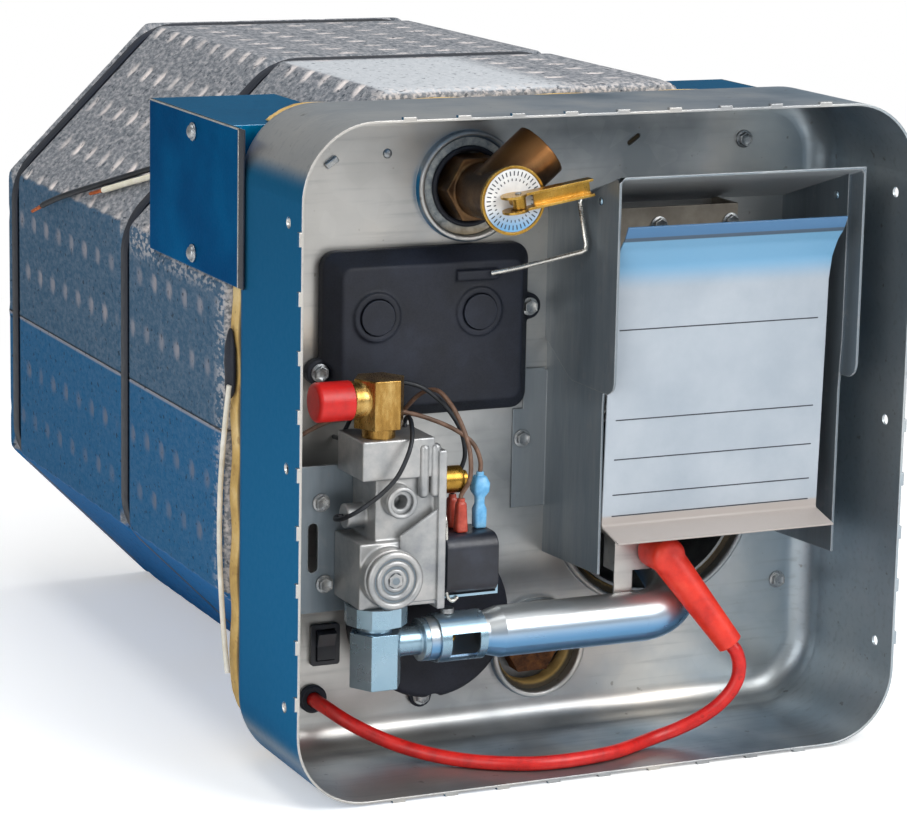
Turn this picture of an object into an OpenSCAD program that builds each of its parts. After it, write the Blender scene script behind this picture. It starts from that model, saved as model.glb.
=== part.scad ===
// Gas and electric storage water heater for a caravan, front cover off.
// Sizes are in millimetres. While it is drawn, y = 0 is the front rim of the
// housing and y grows towards the back; z = 0 is what the heater stands on.
// Places named _at are [x, z] on the back panel: x from the centre line, z up
// from the base, unless their comment says otherwise.

/* [Housing pan] */
// Outside width and height of the pan
pan_w = 320; // [306:1:340]
// Depth from the front rim to the back panel
pan_depth = 85; // [80:1:100]
// Outside radius of the pan's corners
pan_corner_r = 36; // [24:1:44]
// Outside radius between the pan's walls and its back panel
pan_fillet_r = 14; // [8:1:16]
// Thickness of the housing sheet
sheet_t = 1.2; // [0.8:0.1:2]
// How far a rim tab stands proud of the pan
rim_tab = 1.2; // [0.6:0.1:2]
// Length of a rim tab along the rim
tab_len = 6.5; // [4:0.5:10]
// Distance from one rim tab to the next
tab_pitch = 27; // [18:1:40]
// Depth of a rim tab
tab_depth = 2.5; // [1.5:0.5:5]
// Height of the rolled lips round the panel's openings
lip_h = 5; // [3:0.5:7]
// Thickness of the rolled lips
lip_t = 3; // [2:0.5:4]
// Radius of a side fixing hole
fixing_r = 2.6; // [2:0.1:3.5]
// Distance from one side fixing hole to the next
fixing_pitch = 113.5; // [90:0.5:120]
// Distance of the side fixing holes from the rim
fixing_y = 16; // [10:1:24]

/* [Tank and foam] */
// Thickness of the pad between the panel and the tank
pad_t = 11.8; // [8:0.2:16]
// Half width of the pad
pad_half = 156; // [146:1:158]
// Outside radius of the tank
tank_r = 140; // [132:1:145]
// Length of the tank
tank_l = 327; // [290:1:360]
// Wall of the tank
tank_wall = 2.5; // [1.5:0.1:4]
// How far the foam stands out past the pan on each side
foam_over = 0; // [-5:0.5:1]
// Size of the foam's four chamfers
foam_chamfer = 82; // [70:1:84]
// Foam behind the tank
foam_back = 18; // [12:1:30]
// Width of a strap
strap_w = 10; // [6:1:16]
// Thickness of a strap
strap_t = 0.8; // [0.5:0.1:1.5]
// Front strap, from the front of the foam to its middle
strap_front_y = 144; // [120:1:200]
// Rear strap, from the back of the foam to its middle
strap_back_y = 13; // [8:1:40]
// Outside radius of a water coupling
coupling_r = 13.5; // [12:0.5:16]
// Bore of a water coupling
coupling_bore_r = 9.3; // [8:0.1:10]
// Length of a coupling behind the foam
coupling_stub = 27; // [20:1:40]
// Height of the hot coupling above the tank's middle, and of the cold one below it
coupling_z = 95; // [70:1:110]

/* [Flue] */
// Middle of the burner opening
burner_at = [66, 115]; // [-160:1:320]
// Radius of the burner opening
burner_hole_r = 54; // [48:1:56]
// Outside radius of the flue's lower leg
flue_r = 50; // [44:1:52]
// Height of the flue's upper leg above its lower leg
flue_rise = 113; // [108:1:118]
// Outside radius of the flue's upper leg
flue_top_r = 30; // [24:1:34]
// Wall of the flue
flue_wall = 1.5; // [1:0.1:2.5]
// Length of the flue's legs behind the tank's front
flue_l = 190; // [150:1:200]
// Length of the cone between the flue's two radii
flue_cone = 20; // [15:1:25]

/* [Junction boxes] */
// Height of a box
box_h = 75; // [60:1:80]
// Distance of the boxes' tops below the pan's top
box_z = 11.2; // [6:0.2:18]
// Length of a box behind the panel
box_l = 112; // [90:1:130]
// Width of a box along its top
box_w = 65; // [50:1:68]
// Drop of the inner edge before the slope starts
box_drop = 20; // [10:1:25]
// Sheet of the boxes and their covers
box_t = 1.2; // [0.8:0.1:2]
// How far a box cover reaches forward beside the pan
cover_reach = 11; // [4:1:12]
// Lead opening in the left box, from the outer edge and from the top
lead_hole_at = [32, 31]; // [5:1:60]
// Radius of the lead opening
lead_hole_r = 7; // [5:0.5:10]

/* [Relief valve] */
// Middle of the relief valve, from the centre line and below the pan's top
relief_at = [-40, 44.2]; // [-160:0.2:160]
// Radius of the opening round the relief valve
relief_hole_r = 24; // [22:0.5:25]
// Radius of the valve's barrel
relief_barrel_r = 13; // [11:0.5:15]
// Hexagon of the valve, across its flats
relief_hex = 30; // [26:1:36]
// Distance of the valve's face in front of the panel
relief_reach = 50.5; // [44:0.5:60]
// Radius of the round plate
tag_r = 16.5; // [14:0.5:20]
// Thickness of the round plate
tag_t = 1.5; // [1:0.1:2.5]
// Radius of the valve stem
stem_r = 2.5; // [2:0.1:3]
// Radius of the lever's pin
lever_pin_r = 1.5; // [1:0.1:2]
// Length of the lever from its pin
lever_l = 38; // [28:1:40]
// Inside width of the lever's channel
lever_gap = 6; // [5:0.1:8]
// Sheet of the lever
lever_t = 1.2; // [0.8:0.1:1.6]
// Distance of the pin in front of the round plate
lever_lift = 6.5; // [5.5:0.1:8]
// Slope of the lever at rest
lever_slope = 9; // [0:1:20]
// Radius of the valve's outlet
outlet_boss_r = 14; // [11:0.5:15]
// Length of the valve's outlet from the axis
outlet_boss_l = 32; // [24:1:36]
// Turns of the relief spring
spring_turns = 6; // [4:1:8]
// Wire radius of the relief spring
spring_wire_r = 0.7; // [0.5:0.1:0.9]

/* [Temperature controls] */
// Middle of the thermostat cover, from the middle of the relief valve
cover_at = [-23, -69]; // [-160:1:160]
// Width of the thermostat cover
cover_w = 108; // [100:1:112]
// Height of the thermostat cover
cover_h = 82; // [74:1:84]
// Thickness of the thermostat cover
cover_t = 15; // [13:0.5:18]
// Bevel round the thermostat cover
cover_bevel = 7; // [4:0.5:8]
// Thickness of the cover's rim
cover_rim = 6; // [4:0.5:7]
// Wall of the thermostat cover
cover_wall = 4; // [3:0.1:5]
// Distance between the two reset buttons
button_pitch = 53.5; // [48:0.5:58]
// Radius of a reset button
button_r = 8.5; // [6:0.5:9]
// How far a reset button stands out
button_out = 2.5; // [1.5:0.1:3]
// Radius of a disc thermostat
disc_r = 13; // [10:0.5:14]
// Wire radius of the retainer
wire_r = 1.2; // [0.8:0.1:1.5]

/* [Gas train] */
// Distance of the burner tube in front of the panel
gas_standoff = 45; // [44:1:50]
// Height of the burner tube
burner_z = 66; // [64:1:68]
// Middle of the gas valve's outlet, from the centre line
outlet_x = -104; // [-106:1:-102]
// Radius of the burner tube
tube_r = 12.5; // [11.5:0.1:13]
// Radius of the tube's throat
throat_r = 10.5; // [9.5:0.1:11]
// Wall of the burner tube
tube_wall = 1.2; // [0.8:0.1:1.6]
// Bend radius of the burner tube
bend_r = 30; // [26:1:32]
// Rise of the tube behind its bend, in degrees
bend_rise = 25; // [15:1:30]
// Length of the tube behind its bend
tube_tail = 60; // [40:1:80]
// Wall of the air shutter
shutter_wall = 1.2; // [0.8:0.1:1.6]
// Travel of the air shutter each way, in degrees
shutter_swing = 30; // [15:1:35]
// Width of the gas valve's body
valve_w = 43; // [41:1:45]
// Height of the gas valve's body
valve_h = 81; // [76:1:86]
// Depth of the gas valve's body
valve_d = 31; // [29:1:33]
// Radius of the regulator's housing
regulator_r = 14; // [12:0.5:15]
// Radius of the solenoid plunger
plunger_r = 4.6; // [3.5:0.1:5]
// Width and height of the solenoid coil
coil_size = 29; // [26:1:30]
// Length of the solenoid coil
coil_l = 27; // [24:1:30]
// Sheet of the valve bracket and the coil yoke
bracket_t = 1.2; // [1:0.1:2]
// Radius of the red inlet cap
cap_r = 9.4; // [8.6:0.1:10]
// Length of the red inlet cap
cap_l = 18; // [15:1:19]
// Radius of the ignition cable
cable_r = 3.5; // [2.5:0.1:4]
// Radius of the electrode boot
boot_r = 7.5; // [6:0.5:8]
// Radius of the electrode's ceramic
electrode_r = 4.5; // [3.5:0.1:5]

/* [Panel pieces] */
// Middle of the cable grommet
grommet_at = [-118, 28]; // [-160:1:320]
// Radius of the grommet
grommet_r = 7; // [6:0.5:9]
// Middle of the rocker switch
rocker_at = [-112, 55]; // [-160:1:320]
// Width of the switch's frame
rocker_w = 15; // [13:0.5:16]
// Height of the switch's frame
rocker_h = 20.5; // [18:0.5:22]
// Tilt of the rocker at rest, in degrees
rocker_tilt = 8; // [5:1:12]
// Middle of the element cover
element_at = [-61, 67]; // [-160:1:320]
// Radius of the element cover
element_r = 40; // [37:1:42]
// Thickness of the element cover
element_t = 19; // [16:1:20]
// Middle of the drain and anode plug
drain_at = [3, 42]; // [-160:1:320]
// Radius of the drain opening
drain_hole_r = 22.5; // [18:0.5:23]
// Hexagon of the anode plug, across its flats
anode_hex = 27; // [22:1:30]
// Radius of the anode rod
anode_r = 9.5; // [7:0.5:10]
// Length of the rods inside the tank
rod_l = 220; // [150:1:260]
// Length of the sheet screws
screw_l = 7; // [5:0.5:9]
// Shank radius of the sheet screws
screw_r = 1.9; // [1.5:0.1:2.3]

/* [Vent] */
// Left side of the hood, from the centre line
hood_x = 4; // [3:1:10]
// Width of the hood
hood_w = 134; // [125:1:136]
// Distance of the hood's top below the pan's top
hood_top = 32.2; // [29:0.2:41]
// Distance of the hood's lower edges below its top
hood_low = 105; // [99:1:119]
// Distance of the hood's front from the rim
hood_front = 10; // [6:1:16]
// Height of the channel's lower edge
channel_low = 94; // [88:1:100]
// Distance of the channel's front from the rim
channel_front = 24; // [20:1:30]
// Width and height of the baffle
baffle_w = 92; // [80:1:100]
baffle_h = 31; // [24:1:36]
// Distance of the baffle's top below the hood's top
baffle_drop = 23; // [15:1:30]
// Width of the label plate
label_w = 119; // [110:1:122]
// Height of the label plate's lower edge
label_low = 117; // [110:1:120]
// Distance of the label plate's top below the hood's top
label_top = 37; // [31:1:49]

/* [Hidden] */
$fn = 48;
// Play between pieces that lie beside each other, and in running fits
gap = 0.3;
run_gap = 0.05;
// A little more than nothing, so that cuts pass right through
eps = 1;

// Depths
panel = pan_depth;
panel_back = panel + sheet_t;
tank_front = panel_back + pad_t;
tank_back = tank_front + tank_l;
foam_end = tank_back + foam_back;
overall_d = foam_end + coupling_stub;
middle_z = rim_tab + pan_w / 2;
pan_top = rim_tab + pan_w;
foam_w = pan_w + 2 * foam_over;
foam_h = pan_w + 2 * rim_tab;
wall_in = pan_w / 2 - sheet_t;

// Threads of what screws into the tank's head, and the least sheet between one and the tank's wall
relief_shank_r = 10.4;
element_thread_r = 15.5;
anode_thread_r = 12.5;
port_land = 4;
// Place of a port of radius r, drawn towards the tank's middle where its head is too small for it
function on_head(p, r) = let (d = p - [0, middle_z], far = tank_r - tank_wall - port_land - r)
    norm(d) > far ? [0, middle_z] + far * unit(d) : p;
burner_mid = on_head(burner_at, flue_r);
relief_mid = on_head([relief_at[0], pan_top - relief_at[1]], relief_shank_r);
element_mid = on_head(element_at, element_thread_r);
drain_mid = on_head(drain_at, anode_thread_r);
cover_mid = relief_mid + cover_at;

// Slanting slot near the panel's top edge
slot_at = [50, 25.2];
slot_turn = 35;
slot_l = 8;
slot_w = 2.4;

// Flue
flue_top_at = burner_mid + [0, flue_rise];
flue_bend_y = tank_front + flue_l;

// Junction boxes: their covers lie outside the pan and the foam
box_play = 0.2;
box_side = max(pan_w, foam_w) / 2 + box_play;
box_end = panel_back + box_l;
box_top = pan_top - box_z;
box_low = box_top - box_h;
// Board in the right box: room beside and before it, its thickness and height
module_gap = 10;
module_end = 20;
module_t = 23;
module_h = 38.8;

// Relief valve, seen along its axis
tag_back = panel - relief_reach;
tag_front = tag_back - tag_t;
pin_y = tag_front - lever_lift;
chamber_front = tag_back + 4.5;
seat_y = chamber_front + 25;
lever_cam = 2.5;

// Thermostat cover
cover_front = panel - cover_t;
button_at = [for (s = [-1, 1]) cover_mid + [s * button_pitch / 2 - 3, 10]];
cover_ears = [cover_mid + [-cover_w / 2 - 1, -17], cover_mid + [cover_w / 2 + 1, 9]];
window_w = cover_w - 2 * cover_bevel - 6;
window_h = 40;

// Gas train
gas_y = panel - gas_standoff;
valve_back = gas_y + 21;
valve_front = valve_back - valve_d;
valve_low = burner_z + 20;
valve_top = valve_low + valve_h;
valve_left = outlet_x - 13;
valve_right = valve_left + valve_w;
bracket_left = outlet_x - 36;
bracket_low = valve_low - 8;
bracket_top = valve_low + 64;
bracket_short = 6;
bracket_foot = 10;
bracket_slot_at = [outlet_x - 24, valve_low + 24];
bracket_slot = [5, 24];
regulator_at = [outlet_x + 1, valve_low + 16];
coil_at = [gas_y + 2, valve_low + 17.5];
tube_start = outlet_x + 25;
bend_x = 36;
bend_swell = 0.05;
bend_dir = [0, cos(bend_rise), sin(bend_rise)];
bend_mid = [bend_x, gas_y, burner_z] + bend_r * bend_dir;
bend_end = bend_mid + [bend_r, 0, 0];
shutter_in = throat_r + gap;
shutter_out = shutter_in + shutter_wall;
shutter_x = [tube_start + 5, tube_start + 29];
electrode_at = burner_mid - [19, 17];
boot_head = [electrode_at[0], gas_y - 6, electrode_at[1]];
boot_end = boot_head + [31, -14, -45];
inlet_z = valve_top + 18.5;

// Vent
hood_right = hood_x + hood_w;
back_fillet_r = min(pan_fillet_r, pan_w / 2 - gap - max(hood_right, -bracket_left));
hood_roof = pan_top - hood_top;
hood_edge = hood_roof - hood_low;
label_head = hood_roof - label_top;
label_x = hood_x + 2 * sheet_t + gap;
cover_low = cover_mid[1] - cover_h / 2;
flange_low = cover_low - 52;
flange_screw = [hood_x - 12, cover_low - 17];
flange_left = max(cover_mid[0] + cover_w / 2 + 1.5, hood_x - 17);
baffle_y = panel - 25;
baffle_top = hood_roof - baffle_drop;
baffle_low = baffle_top - baffle_h;

// Sheet screws: [x, z] and the face that each head sits on
head_r = 2.4 * screw_r;
element_hole_r = 24;
element_tab = element_mid - [0, element_r + 3];
panel_screws = [
    [cover_ears[0], panel - cover_rim],
    [cover_ears[1], panel - cover_rim],
    [flange_screw, panel - sheet_t],
    [element_tab, panel - 3],
    [[112, pan_top - 27.2], panel],
    [[wall_in - 17.8, 64], panel],
    [[outlet_x - 18, 92], valve_back],
    [[outlet_x - 20, 132], valve_back],
    [[hood_x + 48, baffle_top - 9], baffle_y],
    [[hood_x + 88, baffle_top - 9], baffle_y]
];
box_screw_y = panel_back + 50;
box_screw_z = [box_low + 7, box_top - 9];

// Cord routes
boot_dir = (boot_end - boot_head) / norm(boot_end - boot_head);
cable_route = concat([boot_end + gap * boot_dir, boot_end + 5 * boot_dir], [
    [83, 19, 41], [81.5, 19.5, 32.5], [75.5, 21.5, 23.5], [66, 24, 16], [53, 26.5, 10], [40, 26.5, 7],
    [27, 22, 6], [13, 16, 6], [-2, 13, 6], [-17, 12, 6], [-32, 14, 6], [-46, 20, 6], [-59, 29, 6],
    [-72, 40, 7], [-85, 50, 10], [-97, 57, 15], [-108, 64, 21], [-115, 71, 26], [-118, 78, 28],
    [-118, 82, 28], [-118, 94, 28]
]);
black_route = [
    [-126, 190, 281], [-126, 205, 281], [-129, 226, 277], [-135, 250, 269], [-142, 274, 261.5],
    [-149, 296, 254.5], [-156, 318, 247.5], [-162, 338, 241], [-166, 354, 235], [-169, 368, 229]
];
white_route = [
    [-131, 190, 277], [-131, 205, 276], [-133, 222, 273], [-137, 240, 267], [-142, 257, 261.5],
    [-147, 274, 256.5], [-152, 290, 251.5], [-157, 305, 247]
];
lead_r = 1.6;
wire_routes = [
    [[-50, 42, 144.3], [-50, 42, 151], [-53, 44, 159], [-60, 47, 165], [-70, 50, 170], [-82, 53, 174],
     [-96, 57, 176], [-110, 61, 174], [-122, 66, 169], [-132, 72, 162], [-137, 78, 156], [-138, 82, 155],
     [-138, 84.7, 155]],
    [[-62, 37, 133.3], [-62, 37, 136], [-60, 33, 143], [-59, 33, 150], [-59, 36, 160], [-61, 42, 171],
     [-64, 48, 179], [-68, 54, 184], [-73, 60, 182], [-79, 65, 174], [-83, 70, 164], [-85, 76, 156],
     [-86, 81, 153], [-86, 84.7, 152]],
    [[-62, 47, 133.3], [-62, 47, 136], [-57, 51, 143], [-54, 51, 152], [-56, 52, 164], [-62, 53, 174],
     [-69, 53, 181], [-78, 53, 187], [-90, 56, 189], [-100, 60, 184], [-106, 65, 174], [-108, 71, 164],
     [-108, 78, 159], [-108, 84.7, 158]],
    [[-84, 55, 167.3], [-84, 55, 170], [-86, 46, 174], [-90, 33, 172], [-93, 26.5, 166], [-97, 24, 158],
     [-102, 23.5, 150], [-110, 25, 142], [-118, 29, 135], [-123, 36, 130], [-124, 43, 128],
     [-121.5, 48, 128], [-118.3, 48, 128]]
];
lead_wire_r = 1.1;

// Shapes that repeat

// Box between two corners
module block(low, high) translate(low) cube(high - low);

// Round bars along each axis; at holds the two other coordinates
module bar_x(at, x0, x1, r, r2 = undef)
    translate([x0, at[0], at[1]]) rotate([0, 90, 0])
        cylinder(h = x1 - x0, r1 = r, r2 = is_undef(r2) ? r : r2);
module bar_y(at, y0, y1, r, r2 = undef)
    translate([at[0], y0, at[1]]) rotate([-90, 0, 0])
        cylinder(h = y1 - y0, r1 = r, r2 = is_undef(r2) ? r : r2);
module bar_z(at, z0, z1, r)
    translate([at[0], at[1], z0]) cylinder(h = z1 - z0, r = r);

// Hexagon bars, by the size across the flats
module hex_y(at, y0, y1, flats)
    translate([at[0], y0, at[1]]) rotate([-90, 0, 0]) cylinder(h = y1 - y0, r = flats / sqrt(3), $fn = 6);
module hex_z(at, z0, z1, flats)
    translate([at[0], at[1], z0]) cylinder(h = z1 - z0, r = flats / sqrt(3), $fn = 6);

// Bar between any two points
module rod(p, q, r, r2 = undef) {
    d = q - p;
    flat = norm([d[0], d[1]]);
    translate(p) rotate([0, atan2(flat, d[2]), atan2(d[1], d[0])])
        cylinder(h = norm(d), r1 = r, r2 = is_undef(r2) ? r : r2);
}

// Outline in x and z, pulled from y0 to y1
module prism_y(y0, y1) translate([0, y1, 0]) rotate([90, 0, 0]) linear_extrude(y1 - y0) children();

// Outline in y and z, pulled from x0 to x1
module prism_x(x0, x1) translate([x0, 0, 0]) rotate([90, 0, 90]) linear_extrude(x1 - x0) children();

// Profile in radius and depth, turned round an axis along y
module turn_y(at, y0) translate([at[0], y0, at[1]]) rotate([-90, 0, 0]) rotate_extrude() children();

// Rectangle with round corners round a middle point
module round_rect(at, w, h, r) translate(at) {
    square([w - 2 * r, h], center = true);
    square([w, h - 2 * r], center = true);
    for (sx = [-1, 1], sy = [-1, 1]) translate([sx * (w / 2 - r), sy * (h / 2 - r)]) circle(r);
}

// Octagon of the foam, drawn in by d
module octagon(d) {
    w = foam_w / 2 - d;
    h = foam_h / 2 - d;
    c = foam_chamfer - d * (2 - sqrt(2));
    corners = [[c - w, -h], [w - c, -h], [w, c - h], [w, h - c], [w - c, h], [c - w, h], [-w, h - c], [-w, c - h]];
    translate([0, middle_z]) polygon(corners);
}

// Tube swept along a route: rings square to the route, carried along without twist
function unit(v) = v / norm(v);
function heading(p, i) = unit(p[min(i + 1, len(p) - 1)] - p[max(i - 1, 0)]);
function side_of(d) = unit(cross(d, abs(d[2]) < 0.9 ? [0, 0, 1] : [1, 0, 0]));
function carried(v, d) = unit(v - (v * d) * d);
function sides_along(p) = [for (i = 0, s = side_of(heading(p, 0)); i < len(p);
    i = i + 1, s = i < len(p) ? carried(s, heading(p, i)) : s) s];
// Route with each corner eased over the distance d
function eased(p, d) = [p[0], for (i = [1 : len(p) - 2])
    let (a = d * unit(p[i - 1] - p[i]), b = d * unit(p[i + 1] - p[i]))
        each [p[i] + a, p[i] + (a + b) / 4, p[i] + b],
    p[len(p) - 1]];
module swept(p, r, n) {
    s = sides_along(p);
    rings = [for (i = [0 : len(p) - 1], k = [0 : n - 1])
        let (d = heading(p, i), t = cross(d, s[i]), a = 360 * k / n) p[i] + r * (cos(a) * s[i] + sin(a) * t)];
    last = len(p) * n;
    points = concat(rings, [p[0], p[len(p) - 1]]);
    walls = [for (i = [0 : len(p) - 2], k = [0 : n - 1])
        let (a = i * n + k, b = i * n + (k + 1) % n) each [[a, a + n, b + n], [a, b + n, b]]];
    caps = [for (k = [0 : n - 1])
        each [[last, k, (k + 1) % n], [last + 1, last - n + (k + 1) % n, last - n + k]]];
    polyhedron(points, concat(walls, caps));
}

// Housing and tank

// Section through the pan's wall: distance out from a corner's middle, depth from the rim
module pan_section(r, d, f) {
    square([r, d - f]);
    square([r - f, d]);
    translate([r - f, d - f]) circle(f);
}
module pan_wall() difference() {
    pan_section(pan_corner_r, panel_back, back_fillet_r);
    translate([0, -eps]) pan_section(pan_corner_r - sheet_t, panel + eps, back_fillet_r - sheet_t);
    translate([-eps, -eps]) square([2 * eps, panel + eps]);
}
module rolled_lip(at, r) {
    translate([at[0], panel - lip_h + lip_t / 2, at[1]]) rotate([-90, 0, 0]) rotate_extrude() {
        translate([r, 0]) square([lip_t, lip_h - lip_t / 2]);
        translate([r + lip_t / 2, 0]) circle(lip_t / 2);
    }
}
module pan_shell() {
    s = pan_w / 2 - pan_corner_r;
    tabs = floor(2 * s / tab_pitch);
    translate([0, 0, middle_z]) rotate([-90, 0, 0]) {
        for (a = [0 : 90 : 270]) rotate(a) {
            translate([s, s]) rotate_extrude(angle = 90) pan_wall();
            translate([s, s]) rotate([90, 0, 0]) linear_extrude(2 * s) pan_wall();
            for (i = [0 : tabs - 1]) translate([wall_in, (i - (tabs - 1) / 2) * tab_pitch - tab_len / 2, 0])
                cube([sheet_t + rim_tab, tab_len, tab_depth]);
        }
        translate([-s, -s, panel]) cube([2 * s, 2 * s, sheet_t]);
    }
}
module control_housing() color("silver") difference() {
    union() {
        pan_shell();
        rolled_lip(burner_mid, burner_hole_r);
        rolled_lip(relief_mid, relief_hole_r);
        rolled_lip(drain_mid, drain_hole_r);
    }
    for (hole = [[burner_mid, burner_hole_r], [relief_mid, relief_hole_r], [drain_mid, drain_hole_r],
            [flue_top_at, flue_top_r + 2], [element_mid, element_hole_r], [grommet_at, grommet_r - 1.5]])
        bar_y(hole[0], panel - eps, panel_back + eps, hole[1]);
    prism_y(panel - eps, panel_back + eps) round_rect(cover_mid, window_w, window_h, 4);
    prism_y(panel - eps, panel_back + eps) round_rect(rocker_at, rocker_w - 2.2, rocker_h - 2.2, 1);
    for (s = panel_screws) bar_y(s[0], panel - eps, panel_back + eps, screw_r + gap / 2);
    for (i = [-1 : 1]) bar_x([fixing_y, middle_z + i * fixing_pitch], -pan_w, pan_w, fixing_r);
    prism_y(panel - eps, panel_back + eps) translate([slot_at[0], pan_top - slot_at[1]])
        rotate(slot_turn) round_rect([0, 0], slot_l, slot_w, slot_w / 2 - 0.1);
}
module insulation_pad() color("khaki") difference() {
    prism_y(panel_back, tank_front) round_rect([0, middle_z], 2 * pad_half, 2 * pad_half, pan_corner_r);
    for (hole = [[burner_mid, flue_r + gap], [relief_mid, relief_hole_r - 6], [drain_mid, drain_hole_r - 3],
            [flue_top_at, flue_top_r + gap], [element_mid, element_hole_r], [grommet_at, grommet_r + 1]])
        bar_y(hole[0], panel_back - eps, tank_front + eps, hole[1]);
    prism_y(panel_back - eps, tank_front + eps) round_rect(cover_mid, window_w, window_h, 4);
    prism_y(panel_back - eps, tank_front + eps) round_rect(rocker_at, rocker_w, rocker_h, 1);
    for (s = panel_screws) bar_y(s[0], panel_back - eps, tank_front + eps, screw_r + gap);
    for (side = [-1, 1]) box_space(side);
}

// Five-sided outline of a junction box, grown by d
module box_outline(side, d) {
    inner = box_side - box_w;
    corners = [[box_side + eps, box_low - d], [box_side + eps, box_top + d], [inner - d, box_top + d],
        [inner - d, box_top - box_drop - d / 2], [inner + box_h - box_drop + d / 2, box_low - d]];
    polygon([for (p = corners) [side * p[0], p[1]]]);
}
module box_space(side) prism_y(panel_back - eps, box_end + gap) box_outline(side, gap);

// Both straps' bands round the foam, from depth d in to the strap's thickness
module strap_bands(d)
    for (y = [tank_front + strap_front_y, foam_end - strap_back_y])
        prism_y(y - strap_w / 2, y + strap_w / 2) difference() {
            octagon(d);
            octagon(strap_t);
        }
module foam_blank() difference() {
    prism_y(tank_front, foam_end) octagon(0);
    bar_y([0, middle_z], tank_front - eps, tank_back + gap, tank_r + gap);
    strap_bands(-eps);
    for (s = [-1, 1])
        bar_y([0, middle_z + s * coupling_z], tank_back - eps, foam_end + eps, coupling_r + gap);
    for (side = [-1, 1]) box_space(side);
}
module foam_half(z0, z1) intersection() {
    foam_blank();
    block([-pan_w, 0, z0], [pan_w, overall_d, z1]);
}
module foam_upper() color("lightslategray") foam_half(middle_z, 2 * pan_w);
module foam_lower() color("steelblue") foam_half(-eps, middle_z);
module foam_straps() color("black") strap_bands(0);
module tank() color("gainsboro") difference() {
    bar_y([0, middle_z], tank_front, tank_back, tank_r);
    bar_y([0, middle_z], tank_front + tank_wall, tank_back - tank_wall, tank_r - tank_wall);
    for (hole = [[burner_mid, flue_r + gap], [flue_top_at, flue_top_r + gap],
            [relief_mid, relief_shank_r + gap], [element_mid, element_thread_r + gap],
            [drain_mid, anode_thread_r + gap]])
        bar_y(hole[0], tank_front - eps, tank_front + tank_wall + eps, hole[1]);
    for (s = [-1, 1])
        bar_y([0, middle_z + s * coupling_z], tank_back - tank_wall - eps, tank_back + eps, coupling_r + gap);
}
module flue_legs(d) {
    end = panel - (d > 0 ? eps : 0);
    bar_y(burner_mid, end, flue_bend_y - flue_cone, flue_r - d);
    bar_y(burner_mid, flue_bend_y - flue_cone, flue_bend_y, flue_r - d, flue_top_r - d);
    bar_y(flue_top_at, end, flue_bend_y, flue_top_r - d);
    translate([burner_mid[0], flue_bend_y, burner_mid[1] + flue_rise / 2]) rotate([90, 0, 90])
        rotate([0, 0, -90]) rotate_extrude(angle = 180) translate([flue_rise / 2, 0]) circle(flue_top_r - d);
}
module flue_tube() color("dimgray") difference() {
    flue_legs(0);
    flue_legs(flue_wall);
}
module coupling(side) difference() {
    bar_y([0, middle_z + side * coupling_z], tank_back - 12, overall_d, coupling_r);
    bar_y([0, middle_z + side * coupling_z], tank_back - 12 - eps, overall_d + eps, coupling_bore_r);
}
module hot_coupling() color("lightgray") coupling(1);
module cold_coupling() color("lightgray") coupling(-1);

// Junction boxes

module junction_box(side) difference() {
    intersection() {
        prism_y(panel_back, box_end) box_outline(side, 0);
        block([-box_side, 0, 0], [box_side, overall_d, 2 * pan_w]);
    }
    prism_y(panel_back + box_t, box_end - box_t) box_outline(side, -box_t);
    for (s = panel_screws) bar_y(s[0], panel_back - eps, panel_back + box_t + eps, screw_r + gap / 2);
    if (side < 0)
        bar_y([-box_side + lead_hole_at[0], box_top - lead_hole_at[1]],
              box_end - box_t - eps, box_end + eps, lead_hole_r);
}
module box_left() color("darkblue") junction_box(-1);
module box_right() color("darkblue") junction_box(1);
module box_covers() color("navy") for (side = [-1, 1]) difference() {
    block([side > 0 ? box_side : -box_side - box_t, panel_back - cover_reach, box_low],
          [side > 0 ? box_side + box_t : -box_side, box_end, box_top]);
    for (z = box_screw_z) bar_x([box_screw_y, z], -2 * pan_w, 2 * pan_w, screw_r + gap / 2);
}
module ignition_module() color("darkgreen")
    block([box_side - module_gap - module_t, panel_back + module_end, box_top - box_t - module_h],
          [box_side - module_gap, box_end - module_end, box_top - box_t]);

// Relief valve

module relief_valve() color("peru") difference() {
    union() {
        bar_y(relief_mid, tag_back, panel - 15, relief_barrel_r);
        hex_y(relief_mid, panel - 15, panel + 3, relief_hex);
        bar_y(relief_mid, panel + 3, tank_front + 14, relief_shank_r);
        rod(relief_point(tag_back + 20), outlet_tip(outlet_boss_l), outlet_boss_r);
    }
    bar_y(relief_mid, chamber_front, seat_y, 8);
    bar_y(relief_mid, tag_back - eps, chamber_front + eps, stem_r + run_gap);
    bar_y(relief_mid, seat_y - eps, tank_front + 14 + eps, 6);
    rod(outlet_tip(4), outlet_tip(outlet_boss_l + eps), 9);
}
function relief_point(y) = [relief_mid[0], y, relief_mid[1]];
function outlet_tip(l) = relief_point(tag_back + 20) + l * [cos(40), 0, sin(40)];
module relief_seal() color("gray") difference() {
    bar_y(relief_mid, panel - 2, panel_back, relief_hole_r - gap);
    bar_y(relief_mid, panel - 2 - eps, panel_back + eps, relief_hole_r - 6);
}
module relief_tag() color("goldenrod") difference() {
    union() {
        bar_y(relief_mid, tag_front, tag_back, tag_r);
        bar_y(relief_mid, tag_front - 0.6, tag_front + eps / 2, tag_r);
    }
    bar_y(relief_mid, tag_front - eps, tag_front, tag_r - 1.2);
    bar_y(relief_mid, tag_front - eps, tag_back + eps, stem_r + gap);
}
module at_lever() translate(relief_point(pin_y)) rotate([0, -lever_slope, 0]) children();
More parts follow.
